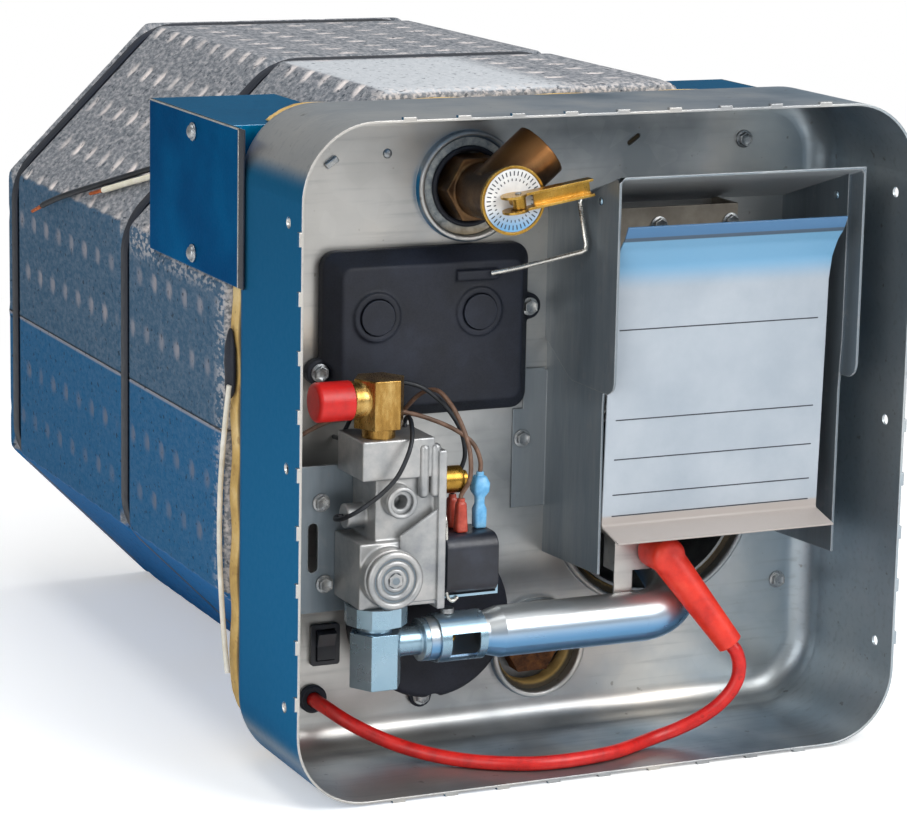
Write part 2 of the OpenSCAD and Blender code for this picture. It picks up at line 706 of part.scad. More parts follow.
module relief_stem() color("khaki") difference() {
    union() {
        bar_y(relief_mid, pin_y, seat_y - 2, stem_r);
        bar_y(relief_mid, seat_y - 3, seat_y, 7.4);
        at_lever() cylinder(h = lever_gap - 2 * gap, r = lever_pin_r + 1.7, center = true);
    }
    at_lever() cylinder(h = 3 * lever_gap, r = lever_pin_r + run_gap, center = true);
}
module relief_spring() color("silver") {
    coil_r = 5.6;
    low = chamber_front + gap + spring_wire_r;
    high = seat_y - 3 - gap - spring_wire_r;
    steps = 8 * spring_turns;
    swept([for (i = [0 : steps]) let (a = 360 * spring_turns * i / steps)
        [relief_mid[0] + coil_r * cos(a), low + (high - low) * i / steps, relief_mid[1] + coil_r * sin(a)]],
        spring_wire_r, 6);
}
module lever_side() difference() {
    union() {
        translate([-lever_cam, 0]) circle(lever_lift - gap);
        translate([0, -3]) square([lever_l, 6]);
    }
    circle(lever_pin_r + run_gap);
}
module relief_lever() color("gold") at_lever() {
    for (s = [0, 1]) mirror([0, 0, s]) translate([0, 0, lever_gap / 2]) linear_extrude(lever_t) lever_side();
    translate([lever_lift + 2, 3 - lever_t, -lever_gap / 2])
        cube([lever_l - lever_lift - 2, lever_t, lever_gap]);
}
module lever_pin() color("gray") at_lever()
    cylinder(h = lever_gap + 2 * lever_t + 1, r = lever_pin_r, center = true);

// Temperature controls

module thermostat_cover() color("#20242c") difference() {
    union() {
        prism_y(panel - cover_rim, panel) round_rect(cover_mid, cover_w, cover_h, 8);
        hull() {
            prism_y(panel - cover_rim, panel - cover_rim + 0.1)
                round_rect(cover_mid, cover_w, cover_h, 8, $fn = 32);
            prism_y(cover_front, cover_front + 0.1)
                round_rect(cover_mid, cover_w - 2 * cover_bevel, cover_h - 2 * cover_bevel, 5, $fn = 32);
        }
        for (e = cover_ears) bar_y(e, panel - cover_rim, panel, 6.5);
        for (b = button_at) bar_y(b, cover_front - 1.5, cover_front + eps, button_r + 3.5);
        block([rib_at[0] - rib_half[0], cover_front - rib_out, rib_at[1] - rib_half[1]],
              [rib_at[0] + rib_half[0], cover_front + eps, rib_at[1] + rib_half[1]]);
    }
    prism_y(cover_front + cover_wall, panel + eps)
        round_rect(cover_mid, window_w, cover_h - 2 * cover_bevel - 6, 4);
    for (b = button_at) bar_y(b, cover_front - 2 * eps, cover_front + cover_wall + eps, button_r + gap);
    for (e = cover_ears) {
        bar_y(e, panel - cover_rim - eps, panel + eps, screw_r + gap / 2);
        bar_y(e, cover_front - 2 * eps, panel - cover_rim, head_r + 2 * gap);
    }
}
rib_at = cover_mid + [22, 28];
rib_half = [11, 2.5];
rib_out = 3;
module reset_button(at) {
    bar_y(at, cover_front - button_out, cover_front + cover_wall + eps, button_r);
    bar_y(at, cover_front + cover_wall, cover_front + cover_wall + 2, button_r + 2);
    bar_y(at, cover_front + cover_wall, cover_front + cover_wall + 3.5, 5);
}
module reset_button_left() color("#262a33") reset_button(button_at[0]);
module reset_button_right() color("#262a33") reset_button(button_at[1]);
module thermostat_switches() color("black") for (b = button_at) {
    bar_y(b - [0, 10], panel - 3, tank_front, disc_r);
    block([b[0] - 9, panel - 4, b[1] - 13], [b[0] - 6, panel - 2, b[1] - 7]);
    block([b[0] + 6, panel - 4, b[1] - 13], [b[0] + 9, panel - 2, b[1] - 7]);
}
// Retainer: its straight end turns in the hood's left wall
wire_pivot = [panel - 40, hood_roof - 14];
wire_points = [
    [hood_x + 4, wire_pivot[0], wire_pivot[1]],
    [hood_x - 3.5, wire_pivot[0], wire_pivot[1]],
    [hood_x - 3.5, wire_pivot[0] - 10, wire_pivot[1] - 24],
    [rib_at[0] + 17, cover_front - 11, rib_at[1] + 4],
    [rib_at[0] + 6, cover_front - 3 - gap - wire_r, rib_at[1] + 1]
];
module retainer_wire() color("lightgray") swept(eased(wire_points, 2.5), wire_r, 10);

// Gas train

module gas_valve() color("darkgray") difference() {
    union() {
        block([valve_left, valve_front, valve_low], [valve_right - 2, valve_back, valve_low + 32]);
        block([outlet_x - 4, valve_front + 3, valve_low + 30], [valve_right - 4, valve_back, valve_top - 15]);
        block([outlet_x - 12, valve_front, valve_top - 19], [valve_right - 5, valve_back, valve_top]);
        block([valve_right - 4, valve_front - 3, valve_low - 2], [valve_right, valve_back, valve_top - 6]);
        bar_y(regulator_at, valve_front - 6, valve_back, regulator_r);
        bar_y([outlet_x + 6, valve_low + 52], valve_front - 4, valve_back - 5, 7.5);
        bar_x([valve_back - 13, valve_low + 42], outlet_x - 14, outlet_x, 6);
    }
    bar_y([outlet_x + 6, valve_low + 52], valve_front - 4 - eps, valve_front + 6, 3.4);
    bar_x(coil_at, valve_right - 12, valve_right + eps, plunger_r + 2 * run_gap);
    bar_y(regulator_at, valve_front - 6 - eps, valve_front - 4, regulator_r - 3);
}
module regulator_cap() color("silver") turn_y(regulator_at, valve_front - 7) difference() {
    union() {
        square([regulator_r - 3 - gap, 3]);
        translate([0, -1.2]) square([6.5, 2]);
        translate([0, -2.6]) square([2.6, 4]);
    }
    translate([8, -eps]) square([1.2, eps + 0.8]);
}
module inlet_elbow() color("darkgoldenrod") {
    bar_z([outlet_x, gas_y], valve_top, valve_top + 5, 8);
    hex_z([outlet_x, gas_y], valve_top + 5, inlet_z + 10, 22);
    bar_x([gas_y, inlet_z], outlet_x - 15, outlet_x, 9);
    bar_x([gas_y, inlet_z], outlet_x - 28, outlet_x, cap_r - 2.2);
}
module inlet_cap() color("red") translate([outlet_x - 15 - gap, gas_y, inlet_z]) rotate([0, -90, 0])
    rotate_extrude() difference() {
        union() {
            square([cap_r, cap_l - 2]);
            square([cap_r - 2, cap_l]);
            translate([cap_r - 2, cap_l - 2]) circle(2);
        }
        translate([-eps, -eps]) square([cap_r - 2.2 + gap + eps, 13.2 + eps]);
    }
module test_plug() color("gold") {
    bar_x([gas_y + 2, valve_low + 57], valve_right, valve_right + 13, 6.6);
    bar_x([gas_y + 2, valve_low + 57], valve_right + 13, valve_right + 16, 4);
}
module coil_yoke() color("lightsteelblue") difference() {
    union() {
        block([valve_right, yoke_y0, yoke_low], [valve_right + bracket_t, yoke_y1, coil_at[1] + yoke_back]);
        block([coil_right, yoke_y0, yoke_low], [coil_right + bracket_t, yoke_y1, coil_at[1] + yoke_end]);
        block([valve_right, yoke_y0, yoke_low], [coil_right + bracket_t, yoke_y1, coil_low]);
    }
    bar_x(coil_at, valve_right - eps, valve_right + bracket_t + eps, plunger_r + 2 * run_gap);
}
coil_low = coil_at[1] - coil_size / 2;
coil_right = valve_right + bracket_t + coil_l;
// Yoke of bent strip round the coil, and how far its two ends stand above the coil's axis
yoke_w = 22;
yoke_back = 13;
yoke_end = 8;
yoke_y0 = coil_at[0] - yoke_w / 2;
yoke_y1 = coil_at[0] + yoke_w / 2;
yoke_low = coil_low - bracket_t;
module solenoid_coil() color("#16181f") difference() {
    prism_x(valve_right + bracket_t, coil_right) round_rect(coil_at, coil_size, coil_size, 7);
    bar_x(coil_at, valve_right, coil_right - 4, plunger_r + 2 * run_gap);
}
module valve_plunger() color("gray") bar_x(coil_at, valve_right - 9, coil_right - 9, plunger_r);
module coil_terminals() {
    top = coil_at[1] + coil_size / 2;
    tag = 6;
    tag_pitch = 12;
    blue_l = 26;
    red_l = 15;
    blue_x = coil_right - bracket_t - tag;
    red_x = blue_x - tag_pitch;
    y0 = coil_at[0] - tag / 2;
    color("deepskyblue") block([blue_x, y0, top], [blue_x + tag, y0 + tag, top + blue_l]);
    color("firebrick") for (y = [y0 - 5, y0 + 5])
        block([red_x, y, top], [red_x + tag, y + tag, top + red_l]);
}
module valve_leads() color("saddlebrown") for (w = wire_routes) swept(w, lead_wire_r, 8);
module valve_bracket() color("slategray") difference() {
    union() {
        block([bracket_left, valve_back, bracket_low],
              [valve_right - bracket_short, valve_back + bracket_t, bracket_top]);
        block([bracket_left, valve_back, bracket_low], [bracket_left + bracket_t, panel, bracket_top]);
        block([bracket_left, panel - bracket_t, bracket_low], [bracket_left + bracket_foot, panel, bracket_top]);
    }
    prism_y(valve_back - eps, valve_back + bracket_t + eps)
        round_rect(bracket_slot_at, bracket_slot[0], bracket_slot[1], bracket_slot[0] / 2 - 0.1);
    for (s = panel_screws) bar_y(s[0], valve_back - eps, valve_back + bracket_t + eps, screw_r + gap / 2);
}
module outlet_nut() color("silver") difference() {
    translate([outlet_x, gas_y, valve_low - 9]) cylinder(h = 9, r = 15, $fn = 12);
    bar_z([outlet_x, gas_y], valve_low - 9 - eps, valve_low + eps, 8 + gap);
}
module outlet_elbow() color("lightsteelblue") {
    bar_z([outlet_x, gas_y], burner_z + 6, valve_low, 8);
    hex_z([outlet_x, gas_y], burner_z - 20, valve_low - 13, 23);
    bar_x([gas_y, burner_z], outlet_x, tube_start - 3, 7);
    bar_x([gas_y, burner_z], tube_start - 3, tube_start, 10.5);
}
module gas_orifice() color("gold") {
    bar_x([gas_y, burner_z], tube_start, tube_start + 10, 3.5);
    bar_x([gas_y, burner_z], tube_start + 10, tube_start + 16, 3.5, 1.8);
}
module tube_length(x0, x1, r, r2) difference() {
    bar_x([gas_y, burner_z], x0, x1, r, r2);
    bar_x([gas_y, burner_z], x0 - eps, x1 + eps, r - tube_wall - (r2 - r) * eps / (x1 - x0),
        r2 - tube_wall + (r2 - r) * eps / (x1 - x0));
}
module tube_ring(swell) difference() {
    circle(tube_r + swell);
    circle(tube_r + swell - tube_wall);
}
// Turns a piece about the tube's axis, so that its seam meets the bend's
module about_tube(a)
    translate([0, gas_y, burner_z]) rotate([a, 0, 0]) translate([0, -gas_y, -burner_z]) children();
module tube_run() {
    about_tube(bend_rise - 90) {
        tube_length(tube_start + 1.5, tube_start + 31, throat_r, throat_r);
        tube_length(tube_start + 31, tube_start + 39, throat_r, tube_r);
        tube_length(tube_start + 39, bend_x, tube_r, tube_r);
        difference() {
            bar_x([gas_y, burner_z], tube_start, tube_start + 1.5, throat_r);
            bar_x([gas_y, burner_z], tube_start - eps, tube_start + 2, 3.5 + gap);
        }
    }
    translate(bend_mid) rotate([bend_rise, 0, 0]) rotate([0, 0, -90]) rotate_extrude(angle = 90)
        translate([bend_r, 0]) tube_ring(bend_swell);
    translate(bend_end) rotate([bend_rise - 90, 0, 0]) linear_extrude(tube_tail) tube_ring(0);
}
module air_window(x0, x1) block([x0, gas_y - 2 * throat_r, burner_z - 9], [x1, gas_y - 4, burner_z + 4]);
module burner_tube() color("lightgray") difference() {
    tube_run();
    air_window(tube_start + 9, tube_start + 26);
    block([screw_x - 1.4 - gap, gas_y - throat_r * sin(shutter_swing + 12), burner_z + throat_r / 2],
          [screw_x + 1.4 + gap, gas_y + throat_r * sin(shutter_swing + 12), burner_z + 2 * throat_r]);
}
screw_x = tube_start + 12;
module air_shutter() color("silver") difference() {
    bar_x([gas_y, burner_z], shutter_x[0], shutter_x[1], shutter_out);
    bar_x([gas_y, burner_z], shutter_x[0] - eps, shutter_x[1] + eps, shutter_in);
    air_window(shutter_x[0] + 5, shutter_x[1] - 4);
    bar_z([screw_x, gas_y], burner_z, burner_z + 2 * throat_r, 1.4 + run_gap);
}
module shutter_screw() color("gray") {
    bar_z([screw_x, gas_y], burner_z + throat_r - 1, burner_z + shutter_out + 1, 1.4);
    bar_z([screw_x, gas_y], burner_z + shutter_out, burner_z + shutter_out + 2.4, 3.4);
}
module electrode_bracket() color("darkgray") difference() {
    left = bend_x - 10;
    front = gas_y + 6;
    low = electrode_at[1] - 10;
    high = electrode_at[1] + 8;
    union() {
        block([left, front, burner_z + sqrt(tube_r * tube_r - 36) + gap], [bend_x, front + bracket_t, high]);
        block([left, front, low], [electrode_at[0] + 6, front + bracket_t, high]);
        block([left, front, low], [left + bracket_t, front + 12, high]);
    }
    bar_y(electrode_at, gas_y, gas_y + 20, electrode_r + gap / 2);
}
module spark_electrode() color("white") {
    bar_y(electrode_at, boot_head[1], tank_front + 8, electrode_r);
    bar_y(electrode_at, tank_front + 8, tank_front + 30, 1.2);
}
module electrode_boot() color("orangered") difference() {
    union() {
        turn_y(electrode_at, boot_head[1] - 8) {
            square([boot_r - 2.5, gas_y + 14 - gap - boot_head[1]]);
            translate([0, 4]) square([boot_r + 1.5, gas_y + 10 - gap - boot_head[1]]);
            translate([boot_r - 2.5, 4]) circle(4);
        }
        rod(boot_head, boot_end, boot_r + 1, boot_r - 1);
    }
    bar_y(electrode_at, boot_head[1], gas_y + 10, electrode_r + run_gap);
}
module ignition_cable() color("red") swept(cable_route, cable_r, 10);

// Panel pieces

module cable_grommet() color("black") turn_y(grommet_at, panel - 3) difference() {
    union() {
        translate([cable_r + gap, 0]) square([grommet_r - cable_r - gap, 3]);
        translate([cable_r + gap, 0]) square([grommet_r - 1.5 - run_gap - cable_r - gap, 3 + sheet_t + 2]);
        translate([cable_r + gap, 3 + sheet_t]) square([grommet_r - cable_r - gap, 2]);
    }
    translate([grommet_r, 0]) circle(0.8);
}
rocker_y = panel - 1;
module rocker_housing() color("#1c1c20") difference() {
    union() {
        prism_y(panel - 2.5, panel) round_rect(rocker_at, rocker_w, rocker_h, 1.5);
        prism_y(panel - 2.5, tank_front - 2)
            round_rect(rocker_at, rocker_w - 2.2 - gap, rocker_h - 2.2 - gap, 1);
    }
    prism_y(panel - 2.5 - eps, panel + 9) round_rect(rocker_at, rocker_w - 5, rocker_h - 4.5, 0.5);
    bar_x([rocker_y, rocker_at[1]],
          rocker_at[0] - rocker_w / 2 + 1.6, rocker_at[0] + rocker_w / 2 - 1.6, 1.2 + run_gap);
}
module rocker() color("#2a2a30") {
    half = (rocker_w - 5) / 2 - gap;
    reach = (rocker_h - 4.5) / 2 - gap;
    translate([rocker_at[0], rocker_y, rocker_at[1]]) rotate([rocker_tilt, 0, 0]) {
        intersection() {
            rotate([0, 90, 0]) cylinder(h = 2 * half, r = reach, center = true);
            prism_x(-half, half) polygon([[3, -reach], [3, reach], [-4, reach], [-2.6, 0], [-4, -reach]]);
        }
        rotate([0, 90, 0]) cylinder(h = rocker_w - 3.6, r = 1.2, center = true);
    }
}
module element_cover() color("#17181d") difference() {
    union() {
        turn_y(element_mid, panel - element_t) {
            square([element_r - 3, element_t]);
            translate([0, 3]) square([element_r, element_t - 3]);
            translate([element_r - 3, 3]) circle(3);
        }
        bar_y(element_tab, panel - 3, panel, 6);
    }
    bar_y(element_mid, panel - element_t + 3, panel + eps, element_r - 4);
    bar_y(element_tab, panel - 3 - eps, panel + eps, screw_r + gap / 2);
    bar_y(element_tab, panel - element_t - eps, panel - 3, head_r + 2 * gap);
}
module heating_element() color("silver") {
    hex_y(element_mid, panel - 6, tank_front, 34);
    bar_y(element_mid, tank_front, tank_front + 14, element_thread_r);
    for (s = [-1, 1]) {
        bar_y(element_mid + [0, 8 * s], tank_front + 14, tank_front + rod_l, 4);
        bar_y(element_mid + [0, 8 * s], panel - 11, panel - 6, 2.4);
    }
    translate([element_mid[0], tank_front + rod_l, element_mid[1]]) rotate([90, 0, 90])
        rotate([0, 0, -90]) rotate_extrude(angle = 180) translate([8, 0]) circle(4);
}
module anode_plug() color("saddlebrown") {
    hex_y(drain_mid, panel + 3, tank_front, anode_hex);
    bar_y(drain_mid, tank_front, tank_front + 14, anode_thread_r);
}
module anode_rod() color("gainsboro") bar_y(drain_mid, tank_front + 14, tank_front + rod_l, anode_r);

// Vent

module hood_side(x) prism_x(x, x + sheet_t)
    polygon([[hood_front, hood_roof], [panel, hood_roof], [panel, hood_edge + 16], [panel - 29, hood_edge],
        [hood_front + 5, hood_edge], [hood_front, hood_edge + 5]]);
module vent_hood() color("slategray") difference() {
    union() {
        block([hood_x, hood_front, hood_roof - sheet_t], [hood_right, panel, hood_roof]);
        hood_side(hood_x);
        hood_side(hood_right - sheet_t);
    }
    bar_x(wire_pivot, hood_x - eps, hood_x + sheet_t + eps, wire_r + run_gap);
}
module channel_side(x) prism_x(x, x + sheet_t)
    polygon([[channel_front, channel_low], [panel, channel_low - 3], [panel, hood_roof - sheet_t],
        [hood_front + 12, hood_roof - sheet_t], [hood_front + 12, hood_edge + 20], [channel_front, hood_edge - 8]]);
module vent_channel() color("gray") difference() {
    union() {
        channel_side(hood_x + sheet_t);
        channel_side(hood_right - 2 * sheet_t);
        block([hood_x - 17, panel - sheet_t, flange_low], [hood_x + 2 * sheet_t, panel, cover_low - 2]);
        block([flange_left, panel - sheet_t, flange_low], [hood_x + 2 * sheet_t, panel, hood_edge + 1]);
    }
    bar_x(wire_pivot, hood_x, hood_x + 3 * sheet_t, wire_r + run_gap);
    bar_y(flange_screw, panel - sheet_t - eps, panel + eps, screw_r + gap / 2);
    bar_y(burner_mid, panel - sheet_t - eps, panel + eps, burner_hole_r + lip_t + gap);
    hood_foot();
}
// Room in the channel's flange for the hood's left wall
module hood_foot()
    block([hood_x - gap, panel - 2 * sheet_t, hood_edge - gap], [hood_x + sheet_t, panel + eps, hood_roof]);
module vent_baffle() color("tan") difference() {
    union() {
        block([hood_x + 2 * sheet_t, baffle_y, baffle_low],
              [hood_x + baffle_w, baffle_y + sheet_t, baffle_top]);
        block([hood_x + baffle_w - sheet_t, baffle_y, baffle_low], [hood_x + baffle_w, panel, baffle_top]);
    }
    for (s = panel_screws) bar_y(s[0], baffle_y - eps, baffle_y + sheet_t + eps, screw_r + gap / 2);
}
// Leaning plate with a lip below and a top that is rolled back
module label_plate() color("white") prism_x(label_x, label_x + label_w) {
    low_y = channel_front + 1;
    roll = 8;
    arc = [for (a = [180 : -15 : 75]) [cos(a), sin(a)]];
    middle = [hood_front + roll, label_head];
    polygon(concat([[low_y, label_low], [low_y - 14, label_low - 6], [low_y - 14, label_low - 6 + sheet_t],
        [low_y - sheet_t, label_low + sheet_t]], [for (p = arc) middle + roll * p],
        [for (i = [1 : len(arc)]) middle + (roll - sheet_t) * arc[len(arc) - i]]));
}
module sheet_screw() {
    translate([0, 0, -1]) cylinder(h = 1, r = head_r);
    translate([0, 0, -2.6]) cylinder(h = 1.6, r = 1.9 * screw_r, $fn = 6);
    cylinder(h = screw_l, r = screw_r);
}
module sheet_screws() color("gainsboro") {
    for (s = panel_screws) translate([s[0][0], s[1], s[0][1]]) rotate([-90, 0, 0]) sheet_screw();
    for (side = [-1, 1], z = box_screw_z) translate([side * (box_side + box_t), box_screw_y, z])
        rotate([0, -90 * side, 0]) sheet_screw();
}
module supply_leads() color("black") {
    swept(black_route, lead_r, 8);
    swept(white_route, lead_r, 8);
}

// Stands the drawing on its origin, below the middle of the whole heater
module centred() translate([0, -overall_d / 2, 0]) children();

centred() control_housing();
centred() insulation_pad();
centred() foam_upper();
centred() foam_lower();
centred() foam_straps();
centred() tank();
centred() flue_tube();
centred() hot_coupling();
centred() cold_coupling();
centred() box_left();
centred() box_right();
centred() box_covers();
centred() ignition_module();
centred() supply_leads();
centred() relief_valve();
centred() relief_seal();
centred() relief_tag();
centred() relief_stem();
centred() relief_spring();
centred() relief_lever();
centred() lever_pin();
centred() thermostat_cover();
centred() reset_button_left();
centred() reset_button_right();
centred() thermostat_switches();
centred() retainer_wire();
centred() gas_valve();
centred() regulator_cap();
centred() inlet_elbow();
centred() inlet_cap();
centred() test_plug();
centred() solenoid_coil();
centred() coil_yoke();
centred() valve_plunger();
centred() coil_terminals();
centred() valve_leads();
centred() valve_bracket();
centred() outlet_nut();
centred() outlet_elbow();
centred() gas_orifice();
centred() burner_tube();
centred() air_shutter();
centred() shutter_screw();
centred() electrode_bracket();
centred() spark_electrode();
centred() electrode_boot();
centred() ignition_cable();
centred() cable_grommet();
centred() rocker_housing();
centred() rocker();
centred() element_cover();
centred() heating_element();
centred() anode_plug();
centred() anode_rod();
centred() vent_hood();
centred() vent_channel();
centred() vent_baffle();
centred() label_plate();
centred() sheet_screws();
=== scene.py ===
import math
import random

import bpy
from mathutils import Matrix, Vector, geometry, noise


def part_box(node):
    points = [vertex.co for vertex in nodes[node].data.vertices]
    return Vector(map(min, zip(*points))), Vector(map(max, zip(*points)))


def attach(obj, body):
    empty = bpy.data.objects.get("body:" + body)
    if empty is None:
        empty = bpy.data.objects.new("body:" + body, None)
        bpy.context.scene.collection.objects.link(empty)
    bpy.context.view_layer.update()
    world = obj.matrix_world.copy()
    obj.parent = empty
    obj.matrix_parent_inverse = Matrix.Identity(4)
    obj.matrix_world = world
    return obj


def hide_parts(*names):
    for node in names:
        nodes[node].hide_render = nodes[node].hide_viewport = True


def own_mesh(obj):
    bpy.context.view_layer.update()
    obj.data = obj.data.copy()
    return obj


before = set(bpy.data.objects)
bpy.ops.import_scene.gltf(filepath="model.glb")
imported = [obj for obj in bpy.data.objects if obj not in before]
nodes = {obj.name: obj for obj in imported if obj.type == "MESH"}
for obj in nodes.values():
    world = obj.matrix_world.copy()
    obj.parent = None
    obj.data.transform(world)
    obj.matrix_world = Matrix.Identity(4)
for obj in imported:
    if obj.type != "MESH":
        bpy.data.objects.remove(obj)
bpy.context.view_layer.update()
print("frame loaded:", len(nodes), "CAD nodes")

# Places are in millimetres from the front rim of the housing, as on a drawing: x right, y back, z up
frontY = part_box("control_housing")[0].y
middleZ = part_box("foam_lower")[1].z
touchMm = 0.05  # places closer than this count as one
mergeMm = 0.02  # and vertices closer than this are merged


def at(x, y, z):
    return Vector((x / 1000, frontY + y / 1000, z / 1000))


def mm(size):
    return size / 1000


def linked(name, data):
    # a new object in the scene, at the origin
    made = bpy.data.objects.new(name, data)
    bpy.context.scene.collection.objects.link(made)
    return made


# Camera, as the photograph was taken: from the front left and a little above
cameraView = {
    "azimuth": -24.74, "elevation": 12.06, "roll": 1.11,
    "distance": 1548.0, "target": (-83.9, 0, 184.3), "lens": 133.55, "sensor": 36.0,
}


def addCamera(view):
    turn, rise, roll = (math.radians(view[k]) for k in ("azimuth", "elevation", "roll"))
    back = Vector((math.sin(turn) * math.cos(rise), -math.cos(turn) * math.cos(rise), math.sin(rise)))
    right = Vector((math.cos(turn), math.sin(turn), 0))
    up = back.cross(right)
    tiltedRight = math.cos(roll) * right + math.sin(roll) * up
    tiltedUp = math.cos(roll) * up - math.sin(roll) * right
    data = bpy.data.cameras.new("viewCamera")
    data.lens = view["lens"]
    data.sensor_width = view["sensor"]
    camera = linked("viewCamera", data)
    place = at(*view["target"]) + back * mm(view["distance"])
    aim = Matrix((tiltedRight, tiltedUp, back)).transposed().to_4x4()
    camera.matrix_world = Matrix.Translation(place) @ aim
    bpy.context.scene.camera = camera


addCamera(cameraView)
print("camera placed")


# Small tools for modelling
def deselectAll():
    if bpy.context.object and bpy.context.object.mode != "OBJECT":
        bpy.ops.object.mode_set(mode="OBJECT")
    bpy.ops.object.select_all(action="DESELECT")


def makeActive(piece):
    deselectAll()
    piece.select_set(True)
    bpy.context.view_layer.objects.active = piece


def solid(kind, name, place, **size):
    # one primitive: its place goes into its mesh, and its object stays at the origin
    deselectAll()
    getattr(bpy.ops.mesh, "primitive_" + kind + "_add")(location=place, **size)
    piece = bpy.context.active_object
    piece.name = name
    piece.data.name = name
    bpy.ops.object.transform_apply(location=True, rotation=True, scale=True)
    return piece


def editAll(piece):
    # edit mode with the whole mesh selected
    makeActive(piece)
    bpy.ops.object.mode_set(mode="EDIT")
    bpy.ops.mesh.select_all(action="SELECT")


def leaveEdit():
    bpy.ops.object.mode_set(mode="OBJECT")


def pickNone(piece):
    # object mode, with no vertex, edge or face left selected
    makeActive(piece)
    for part in (piece.data.vertices, piece.data.edges, piece.data.polygons):
        part.foreach_set("select", [False] * len(part))


def editPicked(kind):
    # edit mode with the vertices, edges or faces that were picked in code
    bpy.ops.object.mode_set(mode="EDIT")
    bpy.ops.mesh.select_mode(type=kind)


def pickFaces(piece, wanted):
    # edit mode with the faces that a test on middle and normal picks
    pickNone(piece)
    for face in piece.data.polygons:
        face.select = wanted(face.center, face.normal)
    editPicked("FACE")


def drawOut(step):
    bpy.ops.mesh.extrude_region_move(TRANSFORM_OT_translate={"value": step})


def turnOutwards(piece):
    editAll(piece)
    bpy.ops.mesh.normals_make_consistent(inside=False)
    leaveEdit()


def roundEdges(piece, lines, widthMm):
    # rounds the edges whose two ends both lie on one of the lines
    pickNone(piece)
    for edge in piece.data.edges:
        ends = [piece.data.vertices[end].co for end in edge.vertices]
        edge.select = any(all(line(end) < mm(touchMm) for end in ends) for line in lines)
    editPicked("EDGE")
    bpy.ops.mesh.bevel(offset=mm(widthMm), segments=5, affect="EDGES")
    bpy.ops.mesh.select_mode(type="FACE")
    leaveEdit()


def applyModifier(piece, kind, **settings):
    makeActive(piece)
    modifier = piece.modifiers.new(kind.lower(), kind)
    for key, value in settings.items():
        setattr(modifier, key, value)
    bpy.ops.object.modifier_apply(modifier=modifier.name)


def rounded(piece, widthMm, segments=2, sharperThan=35):
    # bevels the edges that turn by more than so many degrees
    applyModifier(piece, "BEVEL", width=mm(widthMm), segments=segments, limit_method="ANGLE",
                  angle_limit=math.radians(sharperThan))
    return piece


def smoothByAngle(piece, degrees):
    makeActive(piece)
    bpy.ops.object.shade_smooth_by_angle(angle=math.radians(degrees))
    return piece


def joinPieces(parts, name):
    deselectAll()
    for part in parts:
        part.select_set(True)
    bpy.context.view_layer.objects.active = parts[0]
    bpy.ops.object.join()
    joined = bpy.context.active_object
    joined.name = name
    joined.data.name = name
    return joined


def discard(templates):
    for template in templates:
        bpy.data.objects.remove(template)


def placedCopy(template, name, move):
    # a copy with its own mesh, moved by a matrix
    mesh = template.data.copy()
    mesh.name = name
    mesh.transform(move)
    return linked(name, mesh)


def turnedCopy(template, name, place, way):
    # a copy at a place, its +Z turned to face a direction
    turn = way.to_track_quat("Z", "Y").to_matrix().to_4x4()
    return placedCopy(template, name, Matrix.Translation(place) @ turn)


def copyOfNode(nodeName, pieceName):
    # a merged copy of a CAD solid, to be reworked as its own piece
    mesh = nodes[nodeName].data.copy()
    mesh.name = pieceName
    mesh.materials.clear()
    piece = linked(pieceName, mesh)
    editAll(piece)
    bpy.ops.mesh.customdata_custom_splitnormals_clear()
    bpy.ops.mesh.remove_doubles(threshold=mm(mergeMm))
    leaveEdit()
    return piece


def remesh(piece, voxelMm, passes):
    makeActive(piece)
    piece.data.remesh_voxel_size = mm(voxelMm)
    bpy.ops.object.voxel_remesh()
    editAll(piece)
    bpy.ops.mesh.vertices_smooth(factor=0.5, repeat=passes)
    leaveEdit()
    bpy.ops.object.shade_smooth()


def looseParts(nodeName):
    # lowest and highest corner of each separate solid in a CAD node
    copy = copyOfNode(nodeName, nodeName + ".parts")
    editAll(copy)
    bpy.ops.mesh.separate(type="LOOSE")
    leaveEdit()
    parts = {copy, *bpy.context.selected_objects}
    boxes = []
    for part in parts:
        places = [v.co for v in part.data.vertices]
        low = Vector([min(p[i] for p in places) for i in range(3)])
        high = Vector([max(p[i] for p in places) for i in range(3)])
        boxes.append((low, high))
    discard(parts)
    return sorted(boxes, key=lambda b: tuple(round(v, 5) for v in b[0]))


# Materials
def linear(hexColour):
    channels = [int(hexColour[i:i + 2], 16) / 255 for i in (1, 3, 5)]
    return [c / 12.92 if c <= 0.04045 else ((c + 0.055) / 1.055) ** 2.4 for c in channels] + [1.0]


def addNode(tree, kind, settings=None, inputs=None):
    made = tree.nodes.new(kind)
    for key, value in (settings or {}).items():
        if key == "stops":
            ramp = made.color_ramp
            while len(ramp.elements) < len(value):
                ramp.elements.new(1.0)
            for element, (place, colour) in zip(ramp.elements, value):
                element.position = place
                element.color = linear(colour)
        else:
            setattr(made, key, value)
    for key, value in (inputs or {}).items():
        if isinstance(value, bpy.types.NodeSocket):
            tree.links.new(value, made.inputs[key])
        else:
            made.inputs[key].default_value = value
    return made


def perMetre(sizeMm):
    # texture scale for a pattern of this size on Object coordinates, which are in metres
    return 1000 / sizeMm


def startMaterial(name):
    material = bpy.data.materials.new(name)
    material.use_nodes = True
    tree = material.node_tree
    shader = tree.nodes["Principled BSDF"]
    coords = addNode(tree, "ShaderNodeTexCoord").outputs["Object"]
    return material, tree, shader, coords


